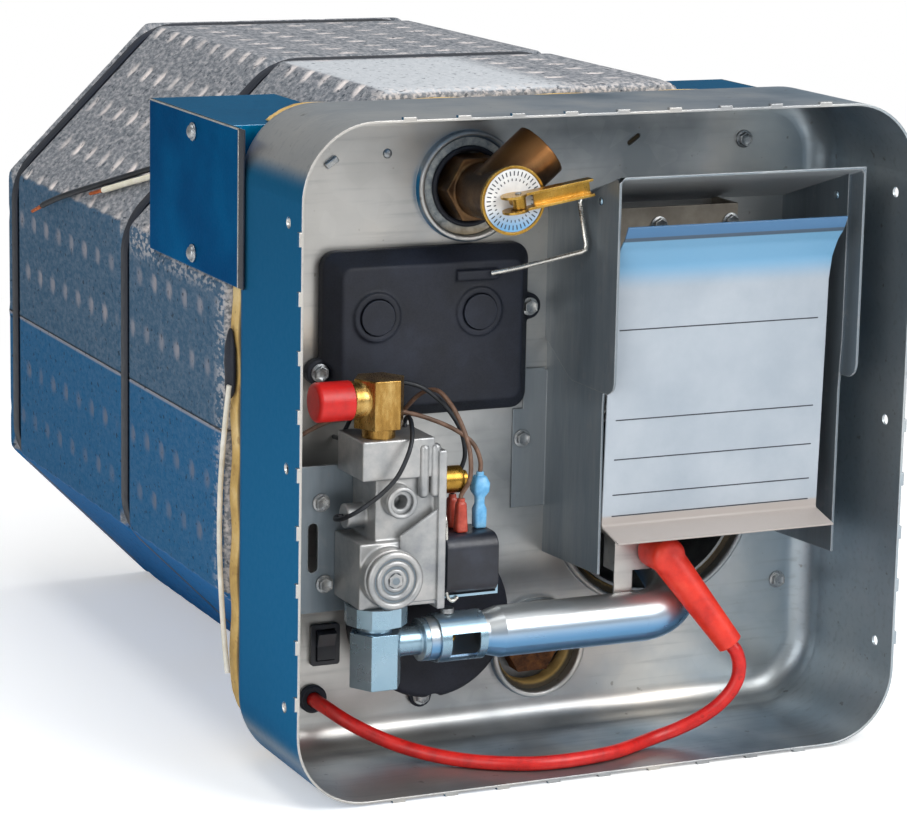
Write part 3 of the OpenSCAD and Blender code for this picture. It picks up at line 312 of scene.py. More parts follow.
def tinted(tree, colour, tint, strength, *masks):
    # lays a tint over a colour where every mask is 1
    # a mask is a socket, or a socket with the values where the tint starts and where it is full
    amount = strength
    for mask in masks:
        if isinstance(mask, tuple):
            value, start, full = mask
            mask = addNode(tree, "ShaderNodeMapRange", {"interpolation_type": "SMOOTHSTEP"}, {
                "Value": value, "From Min": start, "From Max": full}).outputs["Result"]
        amount = addNode(tree, "ShaderNodeMath", {"operation": "MULTIPLY"}, {0: mask, 1: amount}).outputs[0]
    mix = addNode(tree, "ShaderNodeMix", {"data_type": "RGBA"}, {0: amount, 6: colour, 7: linear(tint)})
    return mix.outputs[2]


def normalAlong(tree, axis):
    # how far a face looks along an axis, from -1 to 1
    normal = addNode(tree, "ShaderNodeNewGeometry").outputs["Normal"]
    return addNode(tree, "ShaderNodeSeparateXYZ", None, {0: normal}).outputs[axis]


def edgeWear(tree, radiusMm):
    # 1 on edges: where the normal rounded over this radius leaves the face's own
    soft = addNode(tree, "ShaderNodeBevel", {"samples": 4}, {"Radius": mm(radiusMm)}).outputs[0]
    normal = addNode(tree, "ShaderNodeNewGeometry").outputs["Normal"]
    same = addNode(tree, "ShaderNodeVectorMath", {"operation": "DOT_PRODUCT"}, {0: soft, 1: normal})
    worn = addNode(tree, "ShaderNodeMapRange", None, {
        "Value": same.outputs["Value"], "From Min": 0.985, "From Max": 0.86})
    return soft, worn.outputs["Result"]


noiseLow, noiseHigh = 0.3, 0.7  # nearly all values of a noise texture lie between these
fleckFade = (0.62, 0.72)  # and only its peaks pass these


def finishOf(name, look):
    # one surface: patches of colour, grain in gloss and relief, rounded and worn edges, tints by direction
    material, tree, shader, coords = startMaterial(name)
    mapped = addNode(tree, "ShaderNodeMapping", None, {
        "Vector": coords, "Scale": look.get("stretch", (1, 1, 1))}).outputs[0]
    patches = addNode(tree, "ShaderNodeTexNoise", None, {
        "Vector": mapped, "Scale": perMetre(look["patchMm"]), "Detail": 5.0, "Roughness": 0.62}).outputs[0]
    dark, mid, light = look["colours"]
    stops = [(noiseLow, dark), (0.5, mid), (noiseHigh, light)]
    colour = addNode(tree, "ShaderNodeValToRGB", {"stops": stops}, {0: patches}).outputs[0]
    grain = addNode(tree, "ShaderNodeTexNoise", None, {
        "Vector": mapped, "Scale": perMetre(look["grainMm"]), "Detail": 3.0}).outputs[0]
    if "fleckMm" in look:
        flecks = addNode(tree, "ShaderNodeTexNoise", None, {
            "Vector": coords, "Scale": perMetre(look["fleckMm"]), "Detail": 2.0}).outputs[0]
        colour = tinted(tree, colour, look["fleck"], look.get("fleckAmount", 0.6), (flecks, *fleckFade))
    for axis, start, full, tint, strength in look.get("tints", []):
        colour = tinted(tree, colour, tint, strength, (normalAlong(tree, axis), start, full))
    for axis, start, full, tint, strength in look.get("places", []):
        place = addNode(tree, "ShaderNodeSeparateXYZ", None, {0: coords}).outputs[axis]
        colour = tinted(tree, colour, tint, strength, (place, start, full))
    grainDeep = mm(look.get("grainDeepMm", 0.03))
    bump = {"Height": grain, "Strength": look.get("relief", 0.4), "Distance": grainDeep}
    if "edgeMm" in look:
        bump["Normal"], worn = edgeWear(tree, look["edgeMm"])
        colour = tinted(tree, colour, look["worn"], look.get("wear", 0.5), worn)
    tree.links.new(colour, shader.inputs["Base Color"])
    smooth, rough = look["roughness"]
    gloss = addNode(tree, "ShaderNodeMapRange", None, {
        "Value": grain, "From Min": noiseLow, "From Max": noiseHigh, "To Min": smooth, "To Max": rough})
    tree.links.new(gloss.outputs["Result"], shader.inputs["Roughness"])
    tree.links.new(addNode(tree, "ShaderNodeBump", None, bump).outputs[0], shader.inputs["Normal"])
    for key, value in look.get("shader", {}).items():
        shader.inputs[key].default_value = value
    return material


# Drawn steel, hot-dip galvanised: satin grey with a faint spangle, streaked by handling,
# with painted light, warmer on the left, and painted shade, bluer on the right
galvanised = {
    "clouds": [(0.3, "#868b8e"), (0.48, "#adafb0"), (0.68, "#cdc8c0")], "cloudMm": 60, "spangleMm": 11,
    "streakMm": 3, "streakStretch": (0.06, 1, 1), "dustMm": 5, "edgeMm": 0.8,
    "grainMm": 1.2, "grainDeepMm": 0.08, "relief": 0.25, "roughness": (0.28, 0.46),
    "shader": {"Metallic": 0.85, "Specular Tint": linear("#6f9cc0")},
    # tint and strength of each coat; left and right are painted light and shade, the blue of the side walls
    # is painted blue light and the blue below a painted reflection
    "left": ("#cdc8c0", 0.65), "right": ("#a9bac4", 0.6), "spangle": ("#e4e3df", 0.05),
    "rubbed": ("#8d8f90", 0.30), "dust": ("#6f675a", 0.5), "sideBlueLight": ("#18759f", 0.97),
    "downBlueReflection": ("#4689b8", 0.75), "worn": ("#dcdcd9", 0.35),
}


def galvanisedSteel(name, look, blueLitSides):
    material, tree, shader, coords = startMaterial(name)
    across = addNode(tree, "ShaderNodeSeparateXYZ", None, {0: coords}).outputs[0]
    clouds = addNode(tree, "ShaderNodeTexNoise", None, {
        "Vector": coords, "Scale": perMetre(look["cloudMm"]), "Detail": 4.0}).outputs[0]
    colour = addNode(tree, "ShaderNodeValToRGB", {"stops": look["clouds"]}, {0: clouds}).outputs[0]
    # painted light: lighter and warmer towards the left; painted shade: bluer towards the right
    colour = tinted(tree, colour, *look["left"], (across, mm(20), mm(-150)))
    colour = tinted(tree, colour, *look["right"], (across, mm(80), mm(160)))
    cells = addNode(tree, "ShaderNodeTexVoronoi", None, {
        "Vector": coords, "Scale": perMetre(look["spangleMm"])}).outputs["Color"]
    spangle = addNode(tree, "ShaderNodeSeparateColor", None, {0: cells}).outputs[0]
    colour = tinted(tree, colour, *look["spangle"], (spangle, 0.35, 0.95))
    streaked = addNode(tree, "ShaderNodeMapping", None, {
        "Vector": coords, "Scale": look["streakStretch"]}).outputs[0]
    streaks = addNode(tree, "ShaderNodeTexNoise", None, {
        "Vector": streaked, "Scale": perMetre(look["streakMm"]), "Detail": 4.0}).outputs[0]
    colour = tinted(tree, colour, *look["rubbed"], (streaks, 0.52, 0.75))
    specks = addNode(tree, "ShaderNodeTexNoise", None, {
        "Vector": coords, "Scale": perMetre(look["dustMm"]), "Detail": 2.0}).outputs[0]
    colour = tinted(tree, colour, *look["dust"], (specks, 0.70, 0.76))
    if blueLitSides:
        # painted blue light on the outsides of the two side walls, which stops at the round corners
        for side in (-1, 1):
            outwards = (normalAlong(tree, 0), side * 0.90, side * 0.995)
            colour = tinted(tree, colour, *look["sideBlueLight"], outwards, (across, 0, side * mm(50)))
    # faces that look down have a painted blue reflection on the left
    down = (normalAlong(tree, 2), -0.2, -0.75)
    colour = tinted(tree, colour, *look["downBlueReflection"], down, (across, mm(30), mm(-90)))
    soft, worn = edgeWear(tree, look["edgeMm"])
    colour = tinted(tree, colour, *look["worn"], worn)
    tree.links.new(colour, shader.inputs["Base Color"])
    smooth, rough = look["roughness"]
    gloss = addNode(tree, "ShaderNodeMapRange", None, {"Value": streaks, "To Min": smooth, "To Max": rough})
    tree.links.new(gloss.outputs["Result"], shader.inputs["Roughness"])
    grain = addNode(tree, "ShaderNodeTexNoise", None, {
        "Vector": coords, "Scale": perMetre(look["grainMm"])}).outputs[0]
    relief = addNode(tree, "ShaderNodeBump", None, {
        "Height": grain, "Strength": look["relief"], "Distance": mm(look["grainDeepMm"]), "Normal": soft})
    tree.links.new(relief.outputs[0], shader.inputs["Normal"])
    for key, value in look["shader"].items():
        shader.inputs[key].default_value = value
    return material


# Moulded bead foam: a granite-like skin of beads, paler where the mould's vents left oval marks
beadFoam = {
    "greys": [(0.36, "#62676d"), (0.5, "#808388"), (0.64, "#a3a2a4")], "stretch": (1, 0.55, 1),
    "beadMm": 4.2, "beadRoundMm": 1.2, "beadDeepMm": 0.35, "relief": 0.35,
    "speckMm": 2.4, "crumbMm": 2.2, "pitMm": 3.4, "lipMm": (2.0, 0.9), "seamMm": (1.6, 0.5),
    "shader": {"Roughness": 0.75, "Specular IOR Level": 0.08},
    # tint and strength of each coat; the blue of the sides and underneath is painted blue light, and the
    # duller side marks are painted shade
    "topSkin": ("#c4c8cc", 0.68), "mark": ("#efe4df", 0.95), "upSide": ("#1a5273", 0.74),
    "upMark": ("#a39a9c", 0.6), "lowSide": ("#005a88", 0.88), "lowMark": ("#6f6f78", 0.6),
    "under": ("#0066a2", 0.94), "lip": ("#b3adae", 0.5), "seam": ("#1d242c", 0.85),
    "crumb": ("#d0c9c6", 0.58), "pit": ("#1f2a36", 0.7),
}


def beadFoamSkin(name, look, lower):
    material, tree, shader, coords = startMaterial(name)
    drawn = addNode(tree, "ShaderNodeMapping", None, {"Vector": coords, "Scale": look["stretch"]}).outputs[0]
    specks = addNode(tree, "ShaderNodeTexNoise", None, {
        "Vector": drawn, "Scale": perMetre(look["speckMm"]), "Detail": 4.0, "Roughness": 0.7}).outputs[0]
    colour = addNode(tree, "ShaderNodeValToRGB", {"stops": look["greys"]}, {0: specks}).outputs[0]
    # pale where the mould's skin is whole in front of the first strap, then the vent marks
    whole, marks, edge = (addNode(tree, "ShaderNodeAttribute", {"attribute_name": kind}).outputs["Fac"]
                          for kind in ("topSkin", "ventMark", "frontEdge"))
    colour = tinted(tree, colour, *look["topSkin"], whole)
    colour = tinted(tree, colour, *look["mark"], marks)
    # painted blue light on the upright sides, with the marks there painted duller, as in shade
    half = "low" if lower else "up"
    for side in (-1, 1):
        upright = (normalAlong(tree, 0), side * 0.80, side * 0.93)
        colour = tinted(tree, colour, *look[half + "Side"], upright)
        colour = tinted(tree, colour, *look[half + "Mark"], marks, upright)
    # the halves meet in a dark line with a pale lower lip
    height = addNode(tree, "ShaderNodeSeparateXYZ", None, {0: coords}).outputs[2]
    if lower:
        # painted blue light on faces that look down
        colour = tinted(tree, colour, *look["under"], (normalAlong(tree, 2), -0.35, -0.62))
        start, full = (middleZ - mm(below) for below in look["lipMm"])
        colour = tinted(tree, colour, *look["lip"], (height, start, full))
    else:
        start, full = (middleZ + mm(above) for above in look["seamMm"])
        colour = tinted(tree, colour, *look["seam"], (height, start, full))
    # broken beads along the front edge show their pale insides
    crumbs = addNode(tree, "ShaderNodeTexNoise", None, {
        "Vector": drawn, "Scale": perMetre(look["crumbMm"]), "Detail": 3.0}).outputs[0]
    colour = tinted(tree, colour, *look["crumb"], edge, (crumbs, 0.46, 0.60))
    pits = addNode(tree, "ShaderNodeTexNoise", None, {
        "Vector": coords, "Scale": perMetre(look["pitMm"]), "Detail": 2.0}).outputs[0]
    colour = tinted(tree, colour, *look["pit"], (pits, 0.63, 0.70))
    tree.links.new(colour, shader.inputs["Base Color"])
    beads = addNode(tree, "ShaderNodeTexVoronoi", {"feature": "DISTANCE_TO_EDGE"}, {
        "Vector": coords, "Scale": perMetre(look["beadMm"])}).outputs["Distance"]
    domes = addNode(tree, "ShaderNodeMapRange", {"interpolation_type": "SMOOTHSTEP"}, {
        "Value": beads, "From Min": 0.0, "From Max": mm(look["beadRoundMm"]) * perMetre(look["beadMm"]) / 2})
    relief = addNode(tree, "ShaderNodeBump", None, {
        "Height": domes.outputs["Result"], "Strength": look["relief"], "Distance": mm(look["beadDeepMm"])})
    tree.links.new(relief.outputs[0], shader.inputs["Normal"])
    for key, value in look["shader"].items():
        shader.inputs[key].default_value = value
    return material


surfaces = {
    "galvanisedPan": galvanisedSteel("galvanisedPan", galvanised, True),
    "galvanisedSheet": galvanisedSteel("galvanisedSheet", galvanised, False),
    "foamGrey": beadFoamSkin("foamGrey", beadFoam, False),
    "foamLowerBlueLit": beadFoamSkin("foamLowerBlueLit", beadFoam, True),
}

# The other finishes, one entry each: three patch colours, then sizes in millimetres
# Grain finer than about half a millimetre wouldn't show, so it is drawn that coarse or coarser
finishes = {
    # folded hood sheet: galvanised, weathered to a darker blue grey; faces that look down are painted pale,
    # as painted light
    "hoodSteel": {
        "colours": ("#66717a", "#7c878f", "#979da1"), "patchMm": 45, "grainMm": 1.5,
        "grainDeepMm": 0.06, "roughness": (0.36, 0.52), "stretch": (1, 1, 0.12), "edgeMm": 0.8,
        "worn": "#c9ccce", "wear": 0.6, "fleckMm": 7, "fleck": "#8a8f93", "fleckAmount": 0.4,
        "tints": [(2, -0.5, -0.85, "#d0d5d8", 0.9)], "shader": {"Metallic": 0.65},
    },
    # baffle behind the hood: the same sheet, warmed by the flue
    "bakedSteel": {
        "colours": ("#7d7468", "#9a9184", "#b5ab9c"), "patchMm": 30, "grainMm": 1.5,
        "grainDeepMm": 0.05, "roughness": (0.4, 0.55), "edgeMm": 0.6, "worn": "#d8d2c6",
        "shader": {"Metallic": 0.55},
    },
    # die-cast aluminium: matt, sandy, with smooth worn bosses, and painted blue-grey shade on faces that
    # look down
    "dieCast": {
        "colours": ("#94979a", "#adaeae", "#c6c4c1"), "patchMm": 18, "grainMm": 0.9,
        "grainDeepMm": 0.06, "relief": 0.25, "roughness": (0.34, 0.48), "edgeMm": 0.7,
        "worn": "#efeeec", "wear": 0.55, "tints": [(2, -0.3, -0.9, "#6b7a86", 0.6)],
        "shader": {"Metallic": 0.75},
    },
    # zinc plate on turned steel: bright and bluish, streaked by the tool, with a painted pale blue
    # reflection on faces that look forward and a painted deep blue reflection on faces that look down
    "zincPlate": {
        "colours": ("#8fa1ac", "#a5b6c0", "#bcc8cf"), "patchMm": 45, "grainMm": 9, "relief": 0.1,
        "roughness": (0.24, 0.32),
        "tints": [(1, -0.3, -0.9, "#86aec4", 0.6), (2, -0.1, -0.9, "#3f7ba4", 0.7)],
        "shader": {"Metallic": 0.85},
    },
    # drawn tube, hot-dip aluminised: soft shine, with a painted blue reflection where it looks down
    "aluminisedTube": {
        "colours": ("#bfc4c7", "#cdd0d0", "#dbdbd8"), "patchMm": 30, "grainMm": 6, "relief": 0.04,
        "grainDeepMm": 0.02, "roughness": (0.26, 0.34), "stretch": (0.15, 1, 1),
        "tints": [(2, 0.6, -0.3, "#4a94c8", 0.85)], "shader": {"Metallic": 0.85},
    },
    # bronze casting: dark brown skin with copper showing on the outlet
    "castBronze": {
        "colours": ("#37291e", "#57402b", "#7d5f3d"), "patchMm": 12, "grainMm": 0.9,
        "grainDeepMm": 0.06, "relief": 0.2, "roughness": (0.3, 0.45), "edgeMm": 0.6, "worn": "#c79a5c",
        "wear": 0.7, "places": [(2, 0.286, 0.302, "#b57a45", 0.75)], "shader": {"Metallic": 0.85},
    },
    # turned brass fittings: yellow, dulled in patches, scratched along the flats
    "turnedBrass": {
        "colours": ("#7c5c2c", "#a88245", "#cfae6e"), "patchMm": 7, "grainMm": 0.7, "relief": 0.15,
        "roughness": (0.22, 0.38), "stretch": (1, 1, 0.3), "edgeMm": 0.5, "worn": "#ecc87c",
        "wear": 0.6, "shader": {"Metallic": 0.95},
    },
    # pressed brass sheet, yellow passivated, with painted dark brown shade on faces that look down
    "goldSheet": {
        "colours": ("#94702f", "#b38b3d", "#cfa95c"), "patchMm": 14, "grainMm": 0.6,
        "grainDeepMm": 0.02, "relief": 0.1, "roughness": (0.24, 0.36), "edgeMm": 0.4, "worn": "#f0d590",
        "tints": [(2, -0.2, -0.9, "#4a3312", 0.6)], "shader": {"Metallic": 0.95},
    },
    # moulded rubber: near black with a navy cast, faintly leathery
    "mouldedRubber": {
        "colours": ("#14171f", "#1a1e29", "#232835"), "patchMm": 25, "grainMm": 0.8,
        "grainDeepMm": 0.06, "roughness": (0.5, 0.68), "edgeMm": 0.8, "worn": "#3d4556", "wear": 0.6,
        "shader": {"Specular IOR Level": 0.4},
    },
    # glossy black phenolic moulding
    "blackMoulding": {
        "colours": ("#14161d", "#1d2029", "#282c37"), "patchMm": 18, "grainMm": 0.7,
        "roughness": (0.3, 0.45), "edgeMm": 0.5, "worn": "#4b5160",
    },
    # injection-moulded red cap, a little waxy
    "redPolythene": {
        "colours": ("#b3100c", "#cf1510", "#dd221a"), "patchMm": 12, "grainMm": 0.8,
        "roughness": (0.32, 0.45), "edgeMm": 0.5, "worn": "#ef5a4c", "wear": 0.4,
    },
    # silicone rubber boot and cable: orange red, soft sheen
    "redSilicone": {
        "colours": ("#bf1f14", "#dd2f1c", "#ea4730"), "patchMm": 15, "grainMm": 0.7,
        "grainDeepMm": 0.04, "roughness": (0.35, 0.5), "edgeMm": 0.6, "worn": "#f07a5e", "wear": 0.4,
    },
    # extruded silicone sheath: a darker red, smudged by handling
    "cableSheath": {
        "colours": ("#a8120f", "#c91814", "#d9261d"), "patchMm": 8, "grainMm": 0.6,
        "roughness": (0.3, 0.42), "fleckMm": 4, "fleck": "#4a0a08", "fleckAmount": 0.35,
    },
    # junction boxes: deep blue over a metallic shine, with painted light, a paler blue grey, on faces that
    # look up
    "deepBlueBoxMetal": {
        "colours": ("#005f8b", "#006c9b", "#067aab"), "patchMm": 55, "grainMm": 1.6,
        "grainDeepMm": 0.07, "roughness": (0.34, 0.46), "edgeMm": 0.7, "worn": "#9fb6c6", "wear": 0.75,
        "tints": [(2, 0.6, 0.95, "#4f86a4", 0.6)],
        "shader": {"Metallic": 0.9, "Specular Tint": linear("#3f93c0")},
    },
    # polypropylene strapping: navy black, ribbed along its length
    "strapping": {
        "colours": ("#060b15", "#0a1220", "#111b2d"), "patchMm": 20, "grainMm": 1.1,
        "grainDeepMm": 0.15, "roughness": (0.4, 0.55), "stretch": (0.2, 1, 0.2),
    },
    # fibre pad: cream wadding with brown binder, and painted shade, near black, on faces that look forward
    "creamPad": {
        "colours": ("#a88749", "#c9a765", "#dcc189"), "patchMm": 18, "grainMm": 1.6, "grainDeepMm": 0.5,
        "roughness": (0.8, 0.9), "fleckMm": 5, "fleck": "#7d5a36", "fleckAmount": 0.5,
        "tints": [(1, -0.5, -0.9, "#33312d", 0.92)],
    },
    # butyl strip squeezed out beside the pad, off-white
    "paleSeal": {
        "colours": ("#cfc7b4", "#e0dacb", "#eeeae0"), "patchMm": 9, "grainMm": 0.9, "grainDeepMm": 0.06,
        "roughness": (0.5, 0.65),
    },
    # pressed fibre washer: grey and mottled, browned by rust below
    "fibreRing": {
        "colours": ("#646d71", "#949a9c", "#b9bab4"), "patchMm": 3.5, "grainMm": 1.0,
        "grainDeepMm": 0.15, "roughness": (0.55, 0.75), "places": [(2, 0.262, 0.252, "#a98f62", 0.7)],
    },
    # white enamel plate with a blue wash near its top edge
    "enamelPlate": {
        "colours": ("#99a3ad", "#a2abb4", "#abb3bb"), "patchMm": 40, "grainMm": 1.2,
        "roughness": (0.35, 0.5), "edgeMm": 0.5, "worn": "#8f8f8c", "wear": 0.4,
        "places": [(2, 0.232, 0.246, "#5f9cc2", 0.85), (2, 0.2582, 0.2587, "#2b2630", 0.8),
                   (2, 0.2602, 0.2607, "#3f6c94", 1.0), (2, 0.1235, 0.1215, "#a89d95", 0.85)],
    },
    # screen-printed ink: a flat film, nearly black
    "printInk": {
        "colours": ("#23272e", "#2e333b", "#3a4048"), "patchMm": 5, "grainMm": 0.6, "grainDeepMm": 0.01,
        "roughness": (0.5, 0.6),
    },
    # round plate of the relief valve: white lacquer, bluer below
    "whiteLacquer": {
        "colours": ("#d5d6d6", "#e4e3e1", "#f1f0ec"), "patchMm": 8, "grainMm": 0.6, "grainDeepMm": 0.02,
        "roughness": (0.32, 0.45), "places": [(2, 0.2755, 0.263, "#4796c8", 0.88)],
    },
    # glazed porcelain: off-white and glossy
    "glazedCeramic": {
        "colours": ("#e2ded4", "#ece9e1", "#f5f3ee"), "patchMm": 8, "grainMm": 0.8, "grainDeepMm": 0.02,
        "roughness": (0.2, 0.3),
    },
    # plain carbon steel that has seen water: brown and pitted
    "rustedSteel": {
        "colours": ("#3f2a1d", "#6d4427", "#93602f"), "patchMm": 6, "grainMm": 0.8, "grainDeepMm": 0.3,
        "roughness": (0.6, 0.85), "fleckMm": 4, "fleck": "#2a211c", "shader": {"Metallic": 0.4},
    },
    # drawn wire, nickel bright: thin sharp highlights
    "brightWire": {
        "colours": ("#a9aaa6", "#c9c7c0", "#e6e2d8"), "patchMm": 6, "grainMm": 0.5, "grainDeepMm": 0.02,
        "relief": 0.1, "roughness": (0.2, 0.32), "shader": {"Metallic": 0.9},
    },
    # rolled steel, left bare: grey with a soft shine, brighter along its edges
    "bareSteel": {
        "colours": ("#6f7173", "#8d8f90", "#aaabab"), "patchMm": 25, "grainMm": 1.0,
        "grainDeepMm": 0.05, "roughness": (0.35, 0.5), "edgeMm": 0.6, "worn": "#d5d6d6",
        "shader": {"Metallic": 0.85},
    },
    # circuit board potted in epoxy: dark green and smooth
    "pottedBoard": {
        "colours": ("#0d2a18", "#123a22", "#1b4a2e"), "patchMm": 9, "grainMm": 0.8, "grainDeepMm": 0.08,
        "roughness": (0.35, 0.5),
    },
    # zinc-plated screws, bright with a brown bloom
    "zincScrew": {
        "colours": ("#7f8488", "#a3a6a8", "#c6c5c1"), "patchMm": 4, "grainMm": 0.5,
        "roughness": (0.25, 0.4), "edgeMm": 0.3, "worn": "#eeeeec", "shader": {"Metallic": 0.85},
    },
    # extruded PVC insulation: black with a soft shine
    "blackLead": {
        "colours": ("#0d0f13", "#161a20", "#222831"), "patchMm": 6, "grainMm": 0.5,
        "roughness": (0.38, 0.5),
    },
    # the same insulation in white, yellowed a little
    "whiteLead": {
        "colours": ("#d8cfb4", "#e6dfc9", "#f1ecdd"), "patchMm": 7, "grainMm": 0.5,
        "roughness": (0.4, 0.52),
    },
    # bare copper strands: orange and bright
    "strandedCopper": {
        "colours": ("#a6532a", "#c8693a", "#e18d5e"), "patchMm": 2, "grainMm": 0.5, "grainDeepMm": 0.12,
        "roughness": (0.25, 0.4), "shader": {"Metallic": 0.95},
    },
    # PVC insulation again, in brown
    "brownWire": {
        "colours": ("#4f392c", "#6b4f3e", "#866754"), "patchMm": 6, "grainMm": 0.5,
        "roughness": (0.4, 0.52),
    },
    # moulded nylon sleeve: pale blue with lighter edges
    "blueNylon": {
        "colours": ("#4d93c6", "#69add9", "#8cc4e6"), "patchMm": 5, "grainMm": 0.5,
        "roughness": (0.3, 0.42), "edgeMm": 0.4, "worn": "#b7dcf2",
    },
    # the same nylon in brick red
    "redNylon": {
        "colours": ("#8f2f22", "#ab3f2e", "#c25a46"), "patchMm": 5, "grainMm": 0.5,
        "roughness": (0.3, 0.42), "edgeMm": 0.4, "worn": "#dd8a76",
    },
}
surfaces.update((name, finishOf(name, look)) for name, look in finishes.items())

# Which finish each CAD node carries
wears = {
    "galvanisedPan": ["control_housing"],
    "galvanisedSheet": ["electrode_bracket"],
    "foamGrey": ["foam_upper"],
    "foamLowerBlueLit": ["foam_lower"],
    "creamPad": ["insulation_pad"],
    "strapping": ["foam_straps"],
    "bareSteel": ["tank", "flue_tube", "hot_coupling", "cold_coupling", "relief_spring", "lever_pin",
                  "valve_plunger", "heating_element", "sheet_screws", "shutter_screw"],
    "deepBlueBoxMetal": ["box_left", "box_right", "box_covers"],
    "pottedBoard": ["ignition_module"],
    "blackLead": ["supply_leads"],
    "castBronze": ["relief_valve"],
    "fibreRing": ["relief_seal"],
    "goldSheet": ["relief_tag", "relief_stem", "relief_lever", "test_plug", "gas_orifice"],
    "mouldedRubber": ["thermostat_cover", "reset_button_left", "reset_button_right", "element_cover",
                      "cable_grommet"],
    "blackMoulding": ["thermostat_switches", "solenoid_coil", "rocker_housing", "rocker"],
    "brightWire": ["retainer_wire"],
    "dieCast": ["gas_valve", "regulator_cap"],
    "turnedBrass": ["inlet_elbow"],
    "redPolythene": ["inlet_cap"],
    "zincPlate": ["coil_yoke", "outlet_nut", "outlet_elbow", "air_shutter"],
    "blueNylon": ["coil_terminals"],
    "brownWire": ["valve_leads"],
    "aluminisedTube": ["burner_tube"],
    "glazedCeramic": ["spark_electrode"],
    "redSilicone": ["electrode_boot"],
    "cableSheath": ["ignition_cable"],
    "rustedSteel": ["anode_plug", "anode_rod"],
    "hoodSteel": ["vent_hood", "vent_channel", "valve_bracket"],
    "bakedSteel": ["vent_baffle"],
    "enamelPlate": ["label_plate"],
}
for finish, worn in wears.items():
    for nodeName in worn:
        mesh = nodes[nodeName].data
        mesh.materials.clear()
        mesh.materials.append(surfaces[finish])
print("materials made:", len(surfaces))


def dress(piece, finish, slot, *stoodFor):
    # every new piece belongs to the heater itself, and only CAD nodes move on joints
    piece.data.materials.clear()
    piece.data.materials.append(surfaces[finish])
    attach(piece, "heater")
    if stoodFor:
        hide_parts(*stoodFor)
    return piece


# Cords: the same routes as the CAD tubes
def cordCurve(name, points, radiusMm):
    data = bpy.data.curves.new(name, "CURVE")
    data.dimensions = "3D"
    data.bevel_depth = mm(radiusMm)
    data.bevel_resolution = 4
    data.resolution_u = 8
    data.use_fill_caps = True
    spline = data.splines.new("BEZIER")
    last = len(points) - 1
    spline.bezier_points.add(last)
    for i, knot in enumerate(spline.bezier_points):
        lean = (points[min(i + 1, last)] - points[max(i - 1, 0)]) / (6 if 0 < i < last else 3)
        before = (points[i] - points[i - 1]).length / 3 if i > 0 else lean.length
        after = (points[i + 1] - points[i]).length / 3 if i < last else lean.length
        knot.handle_left_type = knot.handle_right_type = "FREE"
        knot.co = points[i]
        knot.handle_left = points[i] - lean.normalized() * before
        knot.handle_right = points[i] + lean.normalized() * after
    return linked(name, data)


def meshOf(curve):
    makeActive(curve)
    bpy.ops.object.convert(target="MESH")
    return bpy.context.active_object


def wirePiece(name, route, radiusMm, degrees):
    # a stiff wire or bead along a route, made a mesh
    wire = meshOf(cordCurve(name, [at(*place) for place in route], radiusMm))
    return smoothByAngle(wire, degrees)


def curveLength(curve):
    total = 0.0
    knots = curve.data.splines[0].bezier_points
    for a, b in zip(knots, knots[1:]):
        line = geometry.interpolate_bezier(a.co, a.handle_right, b.handle_left, b.co, 24)
        total += sum((q - p).length for p, q in zip(line, line[1:]))
    return total


def layCord(name, route, radiusMm, finish, slot, node):
    points = [at(*place) for place in route]
    curve = cordCurve(name, points, radiusMm)
    dress(curve, finish, slot, node)
    round(curveLength(curve), 4)
    return curve


# Ignition cable, from the boot on the electrode along the floor of the pan to its grommet
ignitionCable = {
    "radius": 3.5, "bootEnd": (78, 20, 53), "bootRun": (31, -14, -45), "startGap": 0.3, "straight": 5,
    "route": [(83, 19, 41), (81.5, 19.5, 32.5), (75.5, 21.5, 23.5), (66, 24, 16), (53, 26.5, 10),
              (40, 26.5, 7), (27, 22, 6), (13, 16, 6), (-2, 13, 6), (-17, 12, 6), (-32, 14, 6),
              (-46, 20, 6), (-59, 29, 6), (-72, 40, 7), (-85, 50, 10), (-97, 57, 15), (-108, 64, 21),
              (-115, 71, 26), (-118, 78, 28), (-118, 82, 28), (-118, 94, 28)],
}
bootEnd = Vector(ignitionCable["bootEnd"])
bootWay = Vector(ignitionCable["bootRun"]).normalized()
cableStart = [bootEnd + bootWay * ignitionCable[k] for k in ("startGap", "straight")]
layCord("ignitionCord", [*cableStart, *ignitionCable["route"]], ignitionCable["radius"], "cableSheath",
        "red_silicone", "ignition_cable")

# Supply leads out of the left junction box; each ends in a few millimetres of bare copper
supplyLeads = {
    "radius": 1.6, "copperRadius": 1.15, "bare": 12, "strandSpread": 0.62, "strandRadius": 0.36,
    "taper": 0.25, "twist": 0.10,
    "blackLead": [(-126, 190, 281), (-126, 205, 281), (-129, 226, 277), (-135, 250, 269),
                  (-142, 274, 261.5), (-149, 296, 254.5), (-156, 318, 247.5), (-162, 338, 241),
                  (-166, 354, 235), (-169, 368, 229)],
    "whiteLead": [(-131, 190, 277), (-131, 205, 276), (-133, 222, 273), (-137, 240, 267),
                  (-142, 257, 261.5), (-147, 274, 256.5), (-152, 290, 251.5), (-157, 305, 247)],
}


